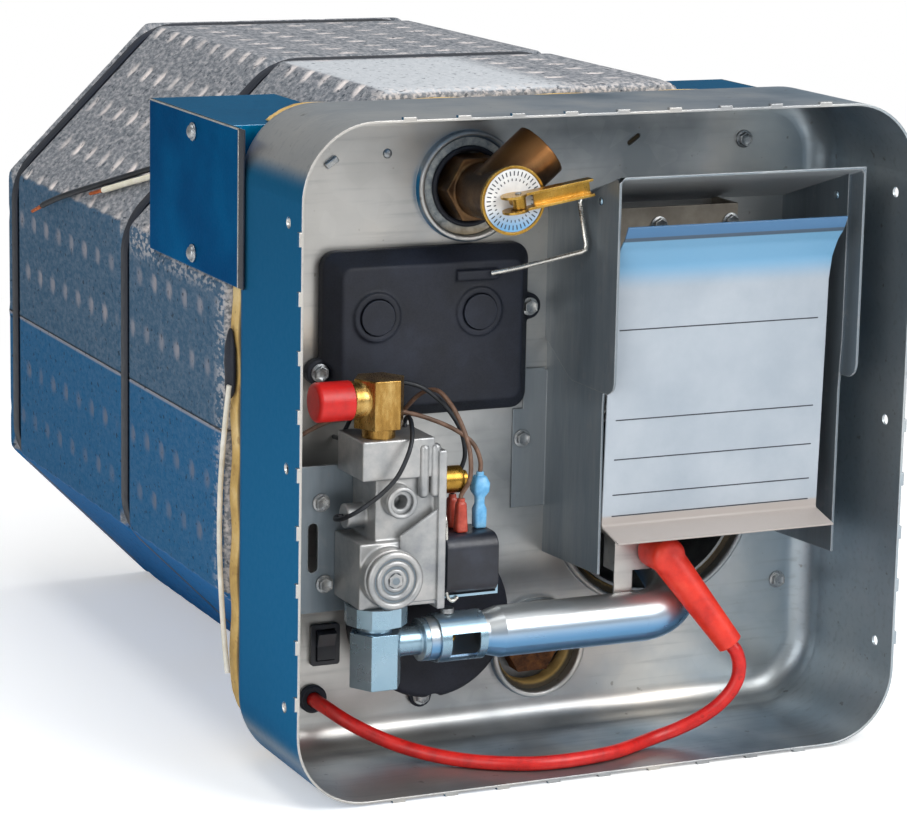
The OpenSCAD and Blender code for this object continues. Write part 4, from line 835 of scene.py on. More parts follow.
def bareEnd(name, route, lead):
    # twisted strands past the end of the sheath: six round one, drawn together a little at the tip
    tip, before = at(*route[-1]), at(*route[-2])
    way = (tip - before).normalized()
    start = tip - way * mm(lead["bare"])
    side = way.cross(Vector((0, 0, 1))).normalized()
    other = way.cross(side)
    strands = []
    for k in range(7):
        spread = 0.0 if k == 6 else lead["copperRadius"] * lead["strandSpread"]
        line = []
        for step in range(7):
            turn = 2 * math.pi * (k / 6 + lead["twist"] * step)
            out = side * math.cos(turn) + other * math.sin(turn)
            drawnIn = 1 - lead["taper"] * step / 6
            line.append(start + way * mm(lead["bare"] * step / 6) + out * mm(spread * drawnIn))
        strand = cordCurve(name + str(k), line, lead["copperRadius"] * lead["strandRadius"])
        strand.data.bevel_resolution = 1
        strand.data.resolution_u = 2
        strands.append(meshOf(strand))
    return joinPieces(strands, name)


def sheathRoute(route, bareMm):
    tip, before = Vector(route[-1]), Vector(route[-2])
    return [*route[:-1], tuple(tip - (tip - before).normalized() * bareMm)]


for leadName in ("blackLead", "whiteLead"):
    route = supplyLeads[leadName]
    copper = bareEnd(leadName + "Copper", route, supplyLeads)
    dress(copper, "strandedCopper", "lead", "supply_leads")
    layCord(leadName + "Cord", sheathRoute(route, supplyLeads["bare"]), supplyLeads["radius"], leadName,
            "lead", "supply_leads")

# Thin wires from the gas valve's coil to the panel
valveWires = {
    "radius": 1.1,
    "coilFeed": [(-50, 42, 144.3), (-50, 42, 151), (-53, 44, 159), (-60, 47, 165), (-70, 50, 170),
                 (-82, 53, 174), (-96, 57, 176), (-110, 61, 174), (-122, 66, 169), (-132, 72, 162),
                 (-137, 78, 156), (-138, 82, 155), (-138, 84.7, 155)],
    "coilReturn": [(-62, 37, 133.3), (-62, 37, 136), (-60, 33, 143), (-59, 33, 150), (-59, 36, 160),
                   (-61, 42, 171), (-64, 48, 179), (-68, 54, 184), (-73, 60, 182), (-79, 65, 174),
                   (-83, 70, 164), (-85, 76, 156), (-86, 81, 153), (-86, 84.7, 152)],
    "coilEarth": [(-62, 47, 133.3), (-62, 47, 136), (-57, 51, 143), (-54, 51, 152), (-56, 52, 164),
                  (-62, 53, 174), (-69, 53, 181), (-78, 53, 187), (-90, 56, 189), (-100, 60, 184),
                  (-106, 65, 174), (-108, 71, 164), (-108, 78, 159), (-108, 84.7, 158)],
    "sensor": [(-84, 55, 167.3), (-84, 55, 170), (-86, 46, 174), (-90, 33, 172), (-93, 26.5, 166),
               (-97, 24, 158), (-102, 23.5, 150), (-110, 25, 142), (-118, 29, 135), (-123, 36, 130),
               (-124, 43, 128), (-121.5, 48, 128), (-118.3, 48, 128)],
}
for wireName in ("coilFeed", "coilReturn", "coilEarth", "sensor"):
    finish = "blackLead" if wireName in ("sensor", "coilEarth") else "brownWire"
    layCord(wireName + "Cord", valveWires[wireName], valveWires["radius"], finish, "wire",
            "valve_leads")
print("cords laid")


# Foam halves: the CAD blocks with soft edges, strap grooves, bead relief and rows of oval vent marks
# Each fade is a pair of distances in millimetres, from nothing to full
foam = {
    "voxel": 2.6, "smoothing": 4, "chamfer": 82, "width": 320, "height": 322.4, "front": 98,
    "straps": (242, 430), "strapWidth": 10, "strapDepth": 1.5, "strapBend": 14, "grooveFade": (0.4, 3),
    "seamReach": 4.0, "seamClosed": 0.85, "skinReach": 4,
    "markSize": (11.5, 6.4), "sideMarkSize": (9.5, 8.0), "markDepth": 0.8, "rowPitch": 28, "alongPitch": 22,
    "rimFade": (12, 18), "seamFade": (8, 14), "pipeFade": (20, 26),
    "strapFade": (9, 12), "frontFade": (14, 24), "edgeFade": (3, 16), "crumble": 1.0, "crumbSize": 4.0,
    "boxLow": 235, "boxBack": 236, "ledgeFade": (2, 12), "boxFade": (0, 8), "sideFade": (150, 156),
    "skinMiddle": -42, "skinHalf": 72, "skinFade": (0, 24), "skinStrapFade": (9, 16),
    # shares, not millimetres: how clear a mark is, its soft edge, the shift from side to side,
    # the turn past which a face counts as the back, and how many crumbs are broken out
    "markLuck": (0.45, 1.0), "markFade": (0.55, 1.15), "sideShift": 0.23, "backTurn": 0.7, "crumbShare": 0.6,
    "pipes": [sum(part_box(n)[i].z for i in (0, 1)) * 500 for n in ("hot_coupling", "cold_coupling")],
}
facesOfOctagon = [(math.cos(math.radians(a)), math.sin(math.radians(a))) for a in range(0, 360, 45)]
backFace = len(facesOfOctagon)


def foamFace(x, z):
    # nearest of the eight sides: how far inside it, its index, and the place along it
    best = None
    for k, (nx, nz) in enumerate(facesOfOctagon):
        if k % 2:
            reach = (foam["width"] / 2 + foam["height"] / 2 - foam["chamfer"]) / math.sqrt(2)
        else:
            reach = foam["width" if k % 4 == 0 else "height"] / 2
        depth = nx * x + nz * z - reach
        if best is None or depth > best[0]:
            best = (depth, k, nx * z - nz * x)
    return best


def eased(value, low, high):
    t = min(max((value - low) / (high - low), 0), 1)
    return t * t * (3 - 2 * t)


def ventMark(along, y, face):
    # 1 in the middle of an oval mark; rows are staggered, and each mark is as clear as its own luck
    long, wide = foam["sideMarkSize" if face % 4 == 0 else "markSize"]
    row = round(along / foam["rowPitch"])
    shift = foam["alongPitch"] * (0.5 * (row % 2) + foam["sideShift"] * face)
    column = round((y - shift) / foam["alongPitch"])
    luck = random.Random(row * 101 + column * 13 + face * 7).uniform(*foam["markLuck"])
    du = (along - row * foam["rowPitch"]) / (long / 2)
    dv = (y - shift - column * foam["alongPitch"]) / (wide / 2)
    return luck * (1 - eased(math.hypot(du, dv), *foam["markFade"]))


def bendDip(face, along):
    # how far the rounded bend of a strap lies below a side, near the side's ends
    if face % 2:
        halfLong = foam["chamfer"] / math.sqrt(2)
    else:
        halfLong = foam["height" if face % 4 == 0 else "width"] / 2 - foam["chamfer"]
    inBend = max(0.0, foam["strapBend"] - halfLong + abs(along))
    return inBend ** 2 * math.tan(math.pi / 8) / (2 * foam["strapBend"])


def shapeFoam(piece):
    mesh = piece.data
    marks, edges, skins = (mesh.attributes.new(kind, "FLOAT", "POINT")
                           for kind in ("ventMark", "frontEdge", "topSkin"))
    normals = [v.normal.copy() for v in mesh.vertices]
    for v, normal in zip(mesh.vertices, normals):
        x, y, z = v.co.x * 1000, (v.co.y - frontY) * 1000, (v.co.z - middleZ) * 1000
        height = v.co.z * 1000
        depth, face, along = foamFace(x, z)
        fromSeam = eased(abs(z), *foam["seamFade"])
        front = 1 - eased(y - foam["front"], *foam["edgeFade"])
        # crumbs also lie along the edge under each junction box
        under = 1 - eased(abs(foam["boxLow"] - height), *foam["ledgeFade"])
        beside = under * eased(foam["boxBack"] - y, *foam["boxFade"]) * eased(abs(x), *foam["sideFade"])
        edges.data[v.index].value = max(front, beside)
        if normal.y > foam["backTurn"]:
            # the back has the same vents, clear of its rim, the seam and the two couplings
            fromPipe = min(math.hypot(x, height - pipeZ) for pipeZ in foam["pipes"])
            mark = ventMark(x, z, backFace) * eased(-depth, *foam["rimFade"]) * fromSeam
            mark *= eased(fromPipe, *foam["pipeFade"])
            marks.data[v.index].value = mark
            v.co -= normal * mm(foam["markDepth"] * mark)
        if depth < -foam["skinReach"] or abs(normal.y) > foam["backTurn"]:
            continue
        if abs(z) < foam["seamReach"]:
            # the halves meet in a thin line, so the rounding that the remesh left there is taken back
            outward = Vector((facesOfOctagon[face][0], 0, facesOfOctagon[face][1]))
            v.co -= outward * mm(depth * foam["seamClosed"])
            v.co.z = middleZ + mm(z * abs(z) / foam["seamReach"])
        whole = eased(foam["skinHalf"] - abs(x - foam["skinMiddle"]), *foam["skinFade"])
        whole *= eased(foam["straps"][0] - y, *foam["skinStrapFade"])
        skins.data[v.index].value = whole if face == 2 else 0.0
        fromStrap = min(abs(y - strapY) for strapY in foam["straps"])
        inGroove = 1 - eased(fromStrap - foam["strapWidth"] / 2, *foam["grooveFade"])
        sink = (foam["strapDepth"] + bendDip(face, along)) * inGroove
        clear = eased(fromStrap, *foam["strapFade"]) * eased(y - foam["front"], *foam["frontFade"])
        mark = ventMark(along, y, face) * clear * fromSeam * (1 - skins.data[v.index].value)
        marks.data[v.index].value = mark
        sink += foam["markDepth"] * mark
        crumb = noise.noise(v.co * perMetre(foam["crumbSize"]))
        sink += foam["crumble"] * front * max(0.0, foam["crumbShare"] + crumb)
        v.co -= normal * mm(sink)
    mesh.update()


for nodeName, pieceName, finish in (("foam_upper", "foamShellUpper", "foamGrey"),
                                    ("foam_lower", "foamShellLower", "foamLowerBlueLit")):
    shell = copyOfNode(nodeName, pieceName)
    remesh(shell, foam["voxel"], foam["smoothing"])
    shapeFoam(shell)
    dress(shell, finish, "foam", nodeName)

# Straps: flat bands in the grooves, bent round the corners as a band under tension is
strap = {"thick": 0.8, "edge": 0.2}


def strapBand(name, strapY):
    # an octagon at the middle of the band's thickness, drawn out to its width
    wide, high = (mm(foam[k] - strap["thick"]) / 2 for k in ("width", "height"))
    cut = mm(foam["chamfer"])
    loop = solid("circle", name, (0, 0, 0), vertices=8, rotation=(0, 0, math.pi / 8))
    start = at(0, strapY - foam["strapWidth"] / 2, 0).y
    corners = []
    for v in loop.data.vertices:
        onSide = abs(v.co.x) > abs(v.co.y)
        x = math.copysign(wide if onSide else wide - cut, v.co.x)
        z = middleZ + math.copysign(high - cut if onSide else high, v.co.y)
        v.co = (x, start, z)
        corners.append((x, z))
    editPicked("EDGE")
    bpy.ops.mesh.select_all(action="SELECT")
    drawOut((0, mm(foam["strapWidth"]), 0))
    leaveEdit()
    bends = [lambda end, x=x, z=z: abs(end.x - x) + abs(end.z - z) for x, z in corners]
    roundEdges(loop, bends, foam["strapBend"])
    applyModifier(loop, "SOLIDIFY", thickness=mm(strap["thick"]), offset=0.0)
    turnOutwards(loop)
    return rounded(loop, strap["edge"])


strapBands = joinPieces([strapBand("strap", strapY) for strapY in foam["straps"]], "strapBands")
dress(smoothByAngle(strapBands, 40), "strapping", "strap", "foam_straps")

# Fibre pad: its edge bulges unevenly out of the gap between the pan and the foam
pad = {"voxel": 2.5, "smoothing": 3, "half": 156, "rim": 8, "bulge": 2.2, "wave": 21, "waveLean": 1.7,
       "crossWave": 0.6, "crossLean": 0.6}
padPiece = copyOfNode("insulation_pad", "fibrePad")
remesh(padPiece, pad["voxel"], pad["smoothing"])
for v in padPiece.data.vertices:
    x, z = v.co.x * 1000, (v.co.z - middleZ) * 1000
    rim = eased(max(abs(x), abs(z)), pad["half"] - pad["rim"], pad["half"])
    wave = math.sin((x + pad["waveLean"] * z) / pad["wave"])
    wave *= math.cos((z - pad["crossLean"] * x) / (pad["crossWave"] * pad["wave"]))
    out = Vector((v.co.x, 0, v.co.z - middleZ)).normalized()
    v.co += out * mm(pad["bulge"] * rim * (0.5 + 0.5 * wave))
dress(padPiece, "creamPad", "pad", "insulation_pad")
print("foam, straps and pad shaped")

# Castings and soft mouldings: the CAD solids with their edges run round, as a mould leaves them
softened = [
    # node, piece, voxel in mm, smoothing passes, finish, slot
    ("gas_valve", "valveCasting", 0.65, 4, "dieCast", "diecast"),
    ("relief_valve", "reliefCasting", 0.6, 3, "castBronze", "brass"),
    ("thermostat_cover", "rubberCover", 0.9, 3, "mouldedRubber", "black_rubber"),
    ("element_cover", "rubberCap", 0.9, 3, "mouldedRubber", "black_rubber"),
    ("electrode_boot", "siliconeBoot", 0.6, 6, "redSilicone", "red_silicone"),
    ("solenoid_coil", "coilMoulding", 0.55, 3, "blackMoulding", "black_plastic"),
    ("inlet_elbow", "brassElbow", 0.5, 2, "turnedBrass", "brass"),
    ("outlet_elbow", "steelElbow", 0.5, 2, "zincPlate", "zinc"),
]
for nodeName, pieceName, voxel, passes, finish, slot in softened:
    casting = copyOfNode(nodeName, pieceName)
    remesh(casting, voxel, passes)
    dress(casting, finish, slot, nodeName)
print("castings softened:", len(softened))

# Spring of the relief valve: a copy of the CAD spring, smooth shaded, with a mesh of its own
liftSpring = copyOfNode("relief_spring", "liftSpring")
dress(smoothByAngle(liftSpring, 60), "bareSteel", "steel", "relief_spring")
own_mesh(liftSpring)

# Hood: its roof falls towards the panel, its bends are rounded, and the channel inside follows it
hood = {"fall": 23.0, "sheet": 1.2, "bend": 2.8, "innerBend": 1.6, "clip": 5.0, "rise": 29.0, "corner": 3.2,
        "rivet": 2.0, "rivetFlat": 0.55, "leftRivet": (18, 8), "rightRivet": (22, 10)}
hoodLow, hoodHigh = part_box("vent_hood")


def roofAt(depth):
    return hoodHigh.z - mm(hood["fall"]) * (depth - hoodLow.y) / (hoodHigh.y - hoodLow.y)


def underRoof(nodeName, pieceName):
    # a copy of a sheet-metal node whose upper edges come down with the roof
    piece = copyOfNode(nodeName, pieceName)
    for vertex in piece.data.vertices:
        if vertex.co.z > hoodHigh.z - mm(hood["sheet"] + 2 * touchMm):
            vertex.co.z += roofAt(vertex.co.y) - hoodHigh.z
    return piece


def roofBends(inset):
    # how far a point is from each bend between the roof and a side
    sides = (hoodLow.x + inset, hoodHigh.x - inset)
    return [lambda end, x=x: abs(end.x - x) + abs(end.z - roofAt(end.y) + inset) for x in sides]


def flapCorners():
    # how far a point is from each corner along the lower edge of the sides
    clip, rise = mm(hood["clip"]), mm(hood["rise"])
    corners = ((hoodLow.y, hoodLow.z + clip), (hoodLow.y + clip, hoodLow.z), (hoodHigh.y - rise, hoodLow.z))
    return [lambda end, y=y, z=z: abs(end.y - y) + abs(end.z - z) for y, z in corners]


slopedHood = underRoof("vent_hood", "slopedHood")
roundEdges(slopedHood, roofBends(mm(hood["sheet"])), hood["innerBend"])
roundEdges(slopedHood, roofBends(0.0), hood["bend"])
roundEdges(slopedHood, flapCorners(), hood["corner"])
dress(smoothByAngle(slopedHood, 40), "hoodSteel", "hood_metal", "vent_hood")
slopedChannel = underRoof("vent_channel", "slopedChannel")
dress(smoothByAngle(slopedChannel, 40), "hoodSteel", "galvanised", "vent_channel")

# Rivets of the hood: low domes on the left side and on the inside of the right one
rivetDome = solid("uv_sphere", "rivetDome", (0, 0, 0), segments=20, ring_count=12, radius=mm(hood["rivet"]))
editAll(rivetDome)
bpy.ops.mesh.bisect(plane_co=(0, 0, 0), plane_no=(0, 0, -1), clear_outer=True, use_fill=True)
bpy.ops.mesh.select_all(action="SELECT")
bpy.ops.transform.resize(value=(1, 1, hood["rivetFlat"]))
leaveEdit()
smoothByAngle(rivetDome, 50)
rivets = []
for side, wall in (("left", hoodLow.x), ("right", hoodHigh.x - 2 * mm(hood["sheet"]))):
    back, below = hood[side + "Rivet"]
    depth = hoodLow.y + mm(back)
    spot = Vector((wall, depth, roofAt(depth) - mm(below)))
    rivets.append(turnedCopy(rivetDome, side + "Rivet", spot, Vector((-1, 0, 0))))
discard([rivetDome])
dress(joinPieces(rivets, "hoodRivets"), "zincPlate", "galvanised")
print("hood bent, rivets:", len(rivets))

# Sheet-metal screws: hex heads with a pressed washer on the panel, domes on the box covers
screw = {
    "washer": 4.5, "washerHigh": 0.9, "washerEdge": 0.35, "shank": 2.0, "shankLong": 7.0, "seat": 2.6,
    "hex": 3.7, "hexHigh": 2.4, "hexEdge": 0.3, "dishRim": 0.7, "dishDeep": 0.5,
    "dome": 3.612, "domeFlat": 0.62,
}


def screwTemplate(domed):
    washerHigh = screw["washerHigh"]
    washer = solid("cylinder", "screwWasher", (0, 0, mm(washerHigh / 2)), vertices=24,
                   radius=mm(screw["washer"]), depth=mm(washerHigh))
    rounded(washer, screw["washerEdge"])
    shank = solid("cylinder", "screwShank", (0, 0, -mm(screw["shankLong"] / 2)), vertices=12,
                  radius=mm(screw["shank"]), depth=mm(screw["shankLong"]))
    if domed:
        head = solid("uv_sphere", "screwHead", (0, 0, mm(washerHigh)), segments=20, ring_count=10,
                     radius=mm(screw["dome"]), scale=(1, 1, screw["domeFlat"]))
    else:
        head = solid("cylinder", "screwHead", (0, 0, mm(washerHigh + screw["hexHigh"] / 2)), vertices=6,
                     radius=mm(screw["hex"]), depth=mm(screw["hexHigh"]))
        pickFaces(head, lambda middle, normal: normal.z > 0.9)
        bpy.ops.mesh.inset(thickness=mm(screw["dishRim"]), depth=0)
        drawOut((0, 0, -mm(screw["dishDeep"])))
        leaveEdit()
        rounded(head, screw["hexEdge"])
    return joinPieces([washer, head, shank], "screwDome" if domed else "screwHex")


def placeScrews():
    hexHead, domeHead = screwTemplate(False), screwTemplate(True)
    copies = []
    for low, high in looseParts("sheet_screws"):
        span = high - low
        middle = (low + high) / 2
        if span.x > max(span.y, span.z):
            way = Vector((math.copysign(1, middle.x), 0, 0))
            seat = Vector((middle.x + way.x * (span.x / 2 - mm(screw["seat"])), middle.y, middle.z))
            copies.append(turnedCopy(domeHead, "screw", seat, way))
        else:
            seat = Vector((middle.x, low.y + mm(screw["seat"]), middle.z))
            copies.append(turnedCopy(hexHead, "screw", seat, Vector((0, -1, 0))))
    discard([hexHead, domeHead])
    return joinPieces(copies, "panelScrews")


dress(smoothByAngle(placeScrews(), 35), "zincScrew", "steel", "sheet_screws")

# Push-on terminals: a bevelled sleeve with a crimped neck where the wire goes in
terminal = {
    "edge": 1.3, "neck": 1.9, "neckLong": 4.0, "neckSink": 0.4, "neckEdge": 0.5, "plain": [(1.0, 0.78)],
    "pinched": [(0.36, 1.0), (0.46, 0.72), (0.58, 0.74), (0.70, 1.28), (0.86, 1.34), (1.0, 0.86)],
}


def terminalSleeve(low, high, widths):
    # a block raised step by step, each step with its share of the height and of the foot's width
    middle, span = (low + high) / 2, high - low
    firstHigh = span.z * widths[0][0]
    place = Vector((middle.x, middle.y, low.z + firstHigh / 2))
    sleeve = solid("cube", "sleeve", place, size=1, scale=(span.x, span.y, firstHigh))
    top = low.z + firstHigh
    lastWidth = 1.0
    for rise, width in widths:
        grown = low.z + span.z * rise
        pickFaces(sleeve, lambda centre, normal: normal.z > 0.9 and abs(centre.z - top) < mm(touchMm))
        if grown > top:
            drawOut((0, 0, grown - top))
        bpy.ops.transform.resize(value=(width / lastWidth, width / lastWidth, 1))
        leaveEdit()
        top, lastWidth = grown, width
    rounded(sleeve, terminal["edge"], 3)
    neckPlace = (middle.x, middle.y, high.z - mm(terminal["neckSink"]))
    neck = solid("cylinder", "neck", neckPlace, vertices=16, radius=mm(terminal["neck"]),
                 depth=mm(terminal["neckLong"]))
    return joinPieces([sleeve, rounded(neck, terminal["neckEdge"])], "terminalSleeve")


terminals = sorted(looseParts("coil_terminals"), key=lambda b: b[1].z)
redSleeves = joinPieces([terminalSleeve(*b, terminal["plain"]) for b in terminals[:-1]], "redTerminals")
blueSleeve = terminalSleeve(*terminals[-1], terminal["pinched"])
blueSleeve.name = "blueTerminal"
for sleeve, finish in ((redSleeves, "redNylon"), (blueSleeve, "blueNylon")):
    dress(smoothByAngle(sleeve, 40), finish, "spade", "coil_terminals")

# Round plate of the relief valve: white face with two rings of plain graduation marks
plate = {"radius": 15.0, "thick": 0.4, "rimStep": 0.6, "ink": 0.12, "edge": 0.12,
         "rings": [(12.9, 2.2, 0.55, 40), (9.9, 1.2, 0.5, 30)]}
upright = (math.pi / 2, 0, 0)
tagLow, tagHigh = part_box("relief_tag")
plateMiddle = (tagLow + tagHigh) / 2
plateMiddle.y = tagLow.y + mm(plate["rimStep"] - plate["thick"])


def graduations():
    marks = []
    for radius, long, wide, count in plate["rings"]:
        size = (mm(long), mm(plate["ink"]), mm(wide))
        first = solid("cube", "mark", (mm(radius), 0, 0), size=1, scale=size)
        for k in range(count):
            turn = Matrix.Rotation(2 * math.pi * k / count, 4, "Y")
            marks.append(placedCopy(first, "mark", Matrix.Translation(plateMiddle) @ turn))
        discard([first])
    return joinPieces(marks, "plateGraduations")


plateFace = solid("cylinder", "plateFace", plateMiddle + Vector((0, mm(plate["thick"] / 2), 0)), vertices=64,
                  radius=mm(plate["radius"]), depth=mm(plate["thick"]), rotation=upright)
rounded(plateFace, plate["edge"])
dress(smoothByAngle(plateFace, 40), "whiteLacquer", "brass")
dress(graduations(), "printInk", "brass")

# Label plate: one enamelled sheet, its foot folded forward and its head curled forward to a lip
labelSheet = {
    "profile": [(6, 113), (24, 117.4), (21.4, 206), (20.8, 233), (18.4, 245), (13.6, 254), (8.6, 259.4),
                (5.2, 266)],
    "thick": 1.0, "bend": 1.6, "edge": 0.25,
}
# It stays bare but for plain dividing rules
rules = {"heights": (214, 170, 150.5, 133, 122.5), "inset": 5, "thick": 0.6, "ink": 0.3, "round": 0.1}


def foldedSheet(name, low, high, sheet):
    # a strip between the first two points of the profile, then its last edge drawn out from point to point
    profile = [at(0, y, z) for y, z in sheet["profile"]]
    piece = solid("plane", name, (0, 0, 0), size=1)
    for v in piece.data.vertices:
        point = profile[0] if v.co.y < 0 else profile[1]
        v.co = (low.x if v.co.x < 0 else high.x, point.y, point.z)
    for last, point in zip(profile[1:], profile[2:]):
        pickNone(piece)
        for v in piece.data.vertices:
            v.select = abs(v.co.y - last.y) + abs(v.co.z - last.z) < mm(touchMm)
        editPicked("VERT")
        drawOut(point - last)
    leaveEdit()
    rounded(piece, sheet["bend"], 4, 12)
    applyModifier(piece, "SOLIDIFY", thickness=mm(sheet["thick"]), offset=0.0)
    turnOutwards(piece)
    rounded(piece, sheet["edge"], 2, 60)
    return smoothByAngle(piece, 40)


plateLow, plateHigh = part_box("label_plate")
enamelSheet = foldedSheet("labelSheet", plateLow, plateHigh, labelSheet)
dress(enamelSheet, "enamelPlate", "label", "label_plate")
bpy.context.view_layer.update()
ruleSize = (plateHigh.x - plateLow.x - mm(2 * rules["inset"]), mm(rules["ink"]), mm(rules["thick"]))
ruleBars = []
for height in rules["heights"]:
    inFront = Vector(((plateLow.x + plateHigh.x) / 2, at(0, -50, 0).y, mm(height)))
    place = enamelSheet.ray_cast(inFront, Vector((0, 1, 0)))[1]
    ruleBars.append(rounded(solid("cube", "rule", place, size=1, scale=ruleSize), rules["round"]))
dress(joinPieces(ruleBars, "labelRules"), "printInk", "label")

# Gas valve: turned rings and socket of the regulator, a raised face beside it, ribs and a spring clip
valve = {
    "rings": [(12.4, 1.9), (8.3, 1.6), (4.6, 1.3)], "boss": (-98, 24.6, 138), "bossRing": (6.6, 1.2),
    # radius, how far its middle stands proud, thickness and corners of each disc on the cap
    "socket": (3.6, 0.5, 2.0, 6), "wellShade": (11.4, 0.15, 0.3, 48), "hole": (2.0, 1.45, 0.3, 16),
    "face": ((-97, 28.4, 88), (-75.6, 30.4, 134)), "faceSlope": 13, "faceEdge": 0.9,
    "ribs": [(-78.5, 31, 151), (-84.5, 31, 151)], "ribRadius": 2.6, "ribLong": 26, "ribEdge": 2.2,
    "clip": [(-72.6, 40, 132), (-72.2, 33, 128), (-72, 31, 115), (-72, 30.6, 101), (-71.6, 30.4, 90),
             (-69, 30.2, 86.5), (-66, 30.4, 88)], "clipRadius": 0.9,
}
capLow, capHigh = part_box("regulator_cap")
capFace = Vector(((capLow.x + capHigh.x) / 2, capLow.y, (capLow.z + capHigh.z) / 2))


def uprightRing(name, place, majorMm, minorMm, around=48, section=10):
    return solid("torus", name, place, rotation=upright, major_radius=mm(majorMm), minor_radius=mm(minorMm),
                 major_segments=around, minor_segments=section)


def capDisc(name, radiusMm, proudMm, thickMm, corners):
    return solid("cylinder", name, capFace - Vector((0, mm(proudMm), 0)), rotation=upright, vertices=corners,
                 radius=mm(radiusMm), depth=mm(thickMm))


castBits = [uprightRing("ring", capFace, *ring) for ring in valve["rings"]]
castBits.append(capDisc("socket", *valve["socket"]))
castBits.append(uprightRing("bossRing", at(*valve["boss"]), *valve["bossRing"], around=40))
faceLow, faceHigh = (at(*corner) for corner in valve["face"])
faceMiddle = (faceLow + faceHigh) / 2
face = solid("cube", "face", faceMiddle, size=1, scale=faceHigh - faceLow)
for v in face.data.vertices:
    if v.co.x < faceMiddle.x and v.co.z > faceMiddle.z:
        v.co.z -= mm(valve["faceSlope"])
castBits.append(rounded(face, valve["faceEdge"], 3))
for place in valve["ribs"]:
    rib = solid("cylinder", "rib", at(*place), vertices=20, radius=mm(valve["ribRadius"]),
                depth=mm(valve["ribLong"]))
    castBits.append(rounded(rib, valve["ribEdge"], 4))
dress(smoothByAngle(joinPieces(castBits, "valveDetail"), 40), "dieCast", "diecast")
# the discs of darker hood steel are painted shade: the gaps between the rings and the socket's hole
shadeDiscs = [capDisc("regulatorWellShade", *valve["wellShade"]), capDisc("socketHoleShade", *valve["hole"])]
dress(joinPieces(shadeDiscs, "regulatorWellShade"), "hoodSteel", "diecast")

# Hexagon of the gas orifice, in the window of the air shutter
spud = {"back": 9.0, "long": 5.0, "radius": 5.8, "edge": 0.6}
spudLow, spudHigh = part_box("gas_orifice")
spudAt = (spudLow + spudHigh) / 2
spudAt.x = spudLow.x + mm(spud["back"] + spud["long"] / 2)
orificeHex = solid("cylinder", "orificeHex", spudAt, rotation=(0, math.pi / 2, 0), vertices=6,
                   radius=mm(spud["radius"]), depth=mm(spud["long"]))
dress(rounded(orificeHex, spud["edge"]), "goldSheet", "brass")
# Spring clip that holds the valve's cover
dress(wirePiece("valveClip", valve["clip"], valve["clipRadius"], 50), "brightWire", "steel")

# Left and right box covers: folded bright edges, and a black strip against the pan that is painted shadow,
# the dark gap between cover and pan
coverTrim = {"edge": 0.9, "strip": 6.0, "proud": 0.25, "thick": 1.0, "round": 0.2}
coverLow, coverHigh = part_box("box_covers")


def coverBar(side, y0, y1, z0, z1, proudMm):
    x = math.copysign(coverHigh.x, side)
    inner = x - math.copysign(mm(coverTrim["thick"]), side)
    outer = x + math.copysign(mm(proudMm), side)
    size = (abs(outer - inner), y1 - y0, z1 - z0)
    bar = solid("cube", "bar", ((outer + inner) / 2, (y0 + y1) / 2, (z0 + z1) / 2), size=1, scale=size)
    return rounded(bar, coverTrim["round"])


shadowStrips, folds = [], []
edgeWide, proud = mm(coverTrim["edge"]), coverTrim["proud"]
shadowStripY = coverLow.y - mm(coverTrim["strip"])
for side in (-1, 1):
    # the black strip is painted shadow in the gap between the cover's front edge and the pan
    shadowStrips.append(coverBar(side, shadowStripY, coverLow.y, coverLow.z, coverHigh.z, 0.0))
    folds.append(coverBar(side, coverLow.y, coverLow.y + edgeWide, coverLow.z, coverHigh.z, proud))
    folds.append(coverBar(side, coverLow.y, coverHigh.y, coverHigh.z - edgeWide, coverHigh.z, proud))
dress(joinPieces(shadowStrips, "coverShadowStrips"), "blackMoulding", "black_rubber")
dress(joinPieces(folds, "coverFolds"), "brightWire", "box_metal")

# Seal round the relief valve's hex: black rubber, whose dark ring is also painted shade in the gap between
# the opening and the valve
reliefSeal = {"at": (-40, 82, 277), "ring": (18.4, 1.4)}
gasket = uprightRing("reliefGasketAndShade", at(*reliefSeal["at"]), *reliefSeal["ring"], section=12)
dress(smoothByAngle(gasket, 60), "mouldedRubber", "black_rubber")

# Strip of butyl that has crept out beside the pad on the left, and a dark lump of it
creep = {
    "radius": 1.3, "lump": (-158.8, 91.5, 196), "lumpSize": (2.6, 5.0, 17.0),
    "lumpWave": 0.8, "lumpWaveMm": 6,
    "route": [(-160.4, 88.5, 186), (-160.8, 91.5, 172), (-161, 95.5, 152), (-161.2, 98.2, 128),
              (-161.2, 98.4, 104), (-161, 96, 80), (-160.8, 92.5, 60), (-160.4, 89, 44)],
}
dress(wirePiece("butylBead", creep["route"], creep["radius"], 60), "paleSeal", "pad")
lump = solid("uv_sphere", "butylLump", at(*creep["lump"]), segments=24, ring_count=14, radius=mm(1),
             scale=creep["lumpSize"])
for v in lump.data.vertices:
    v.co += v.normal * mm(creep["lumpWave"] * noise.noise(v.co * perMetre(creep["lumpWaveMm"])))
dress(smoothByAngle(lump, 60), "mouldedRubber", "pad")

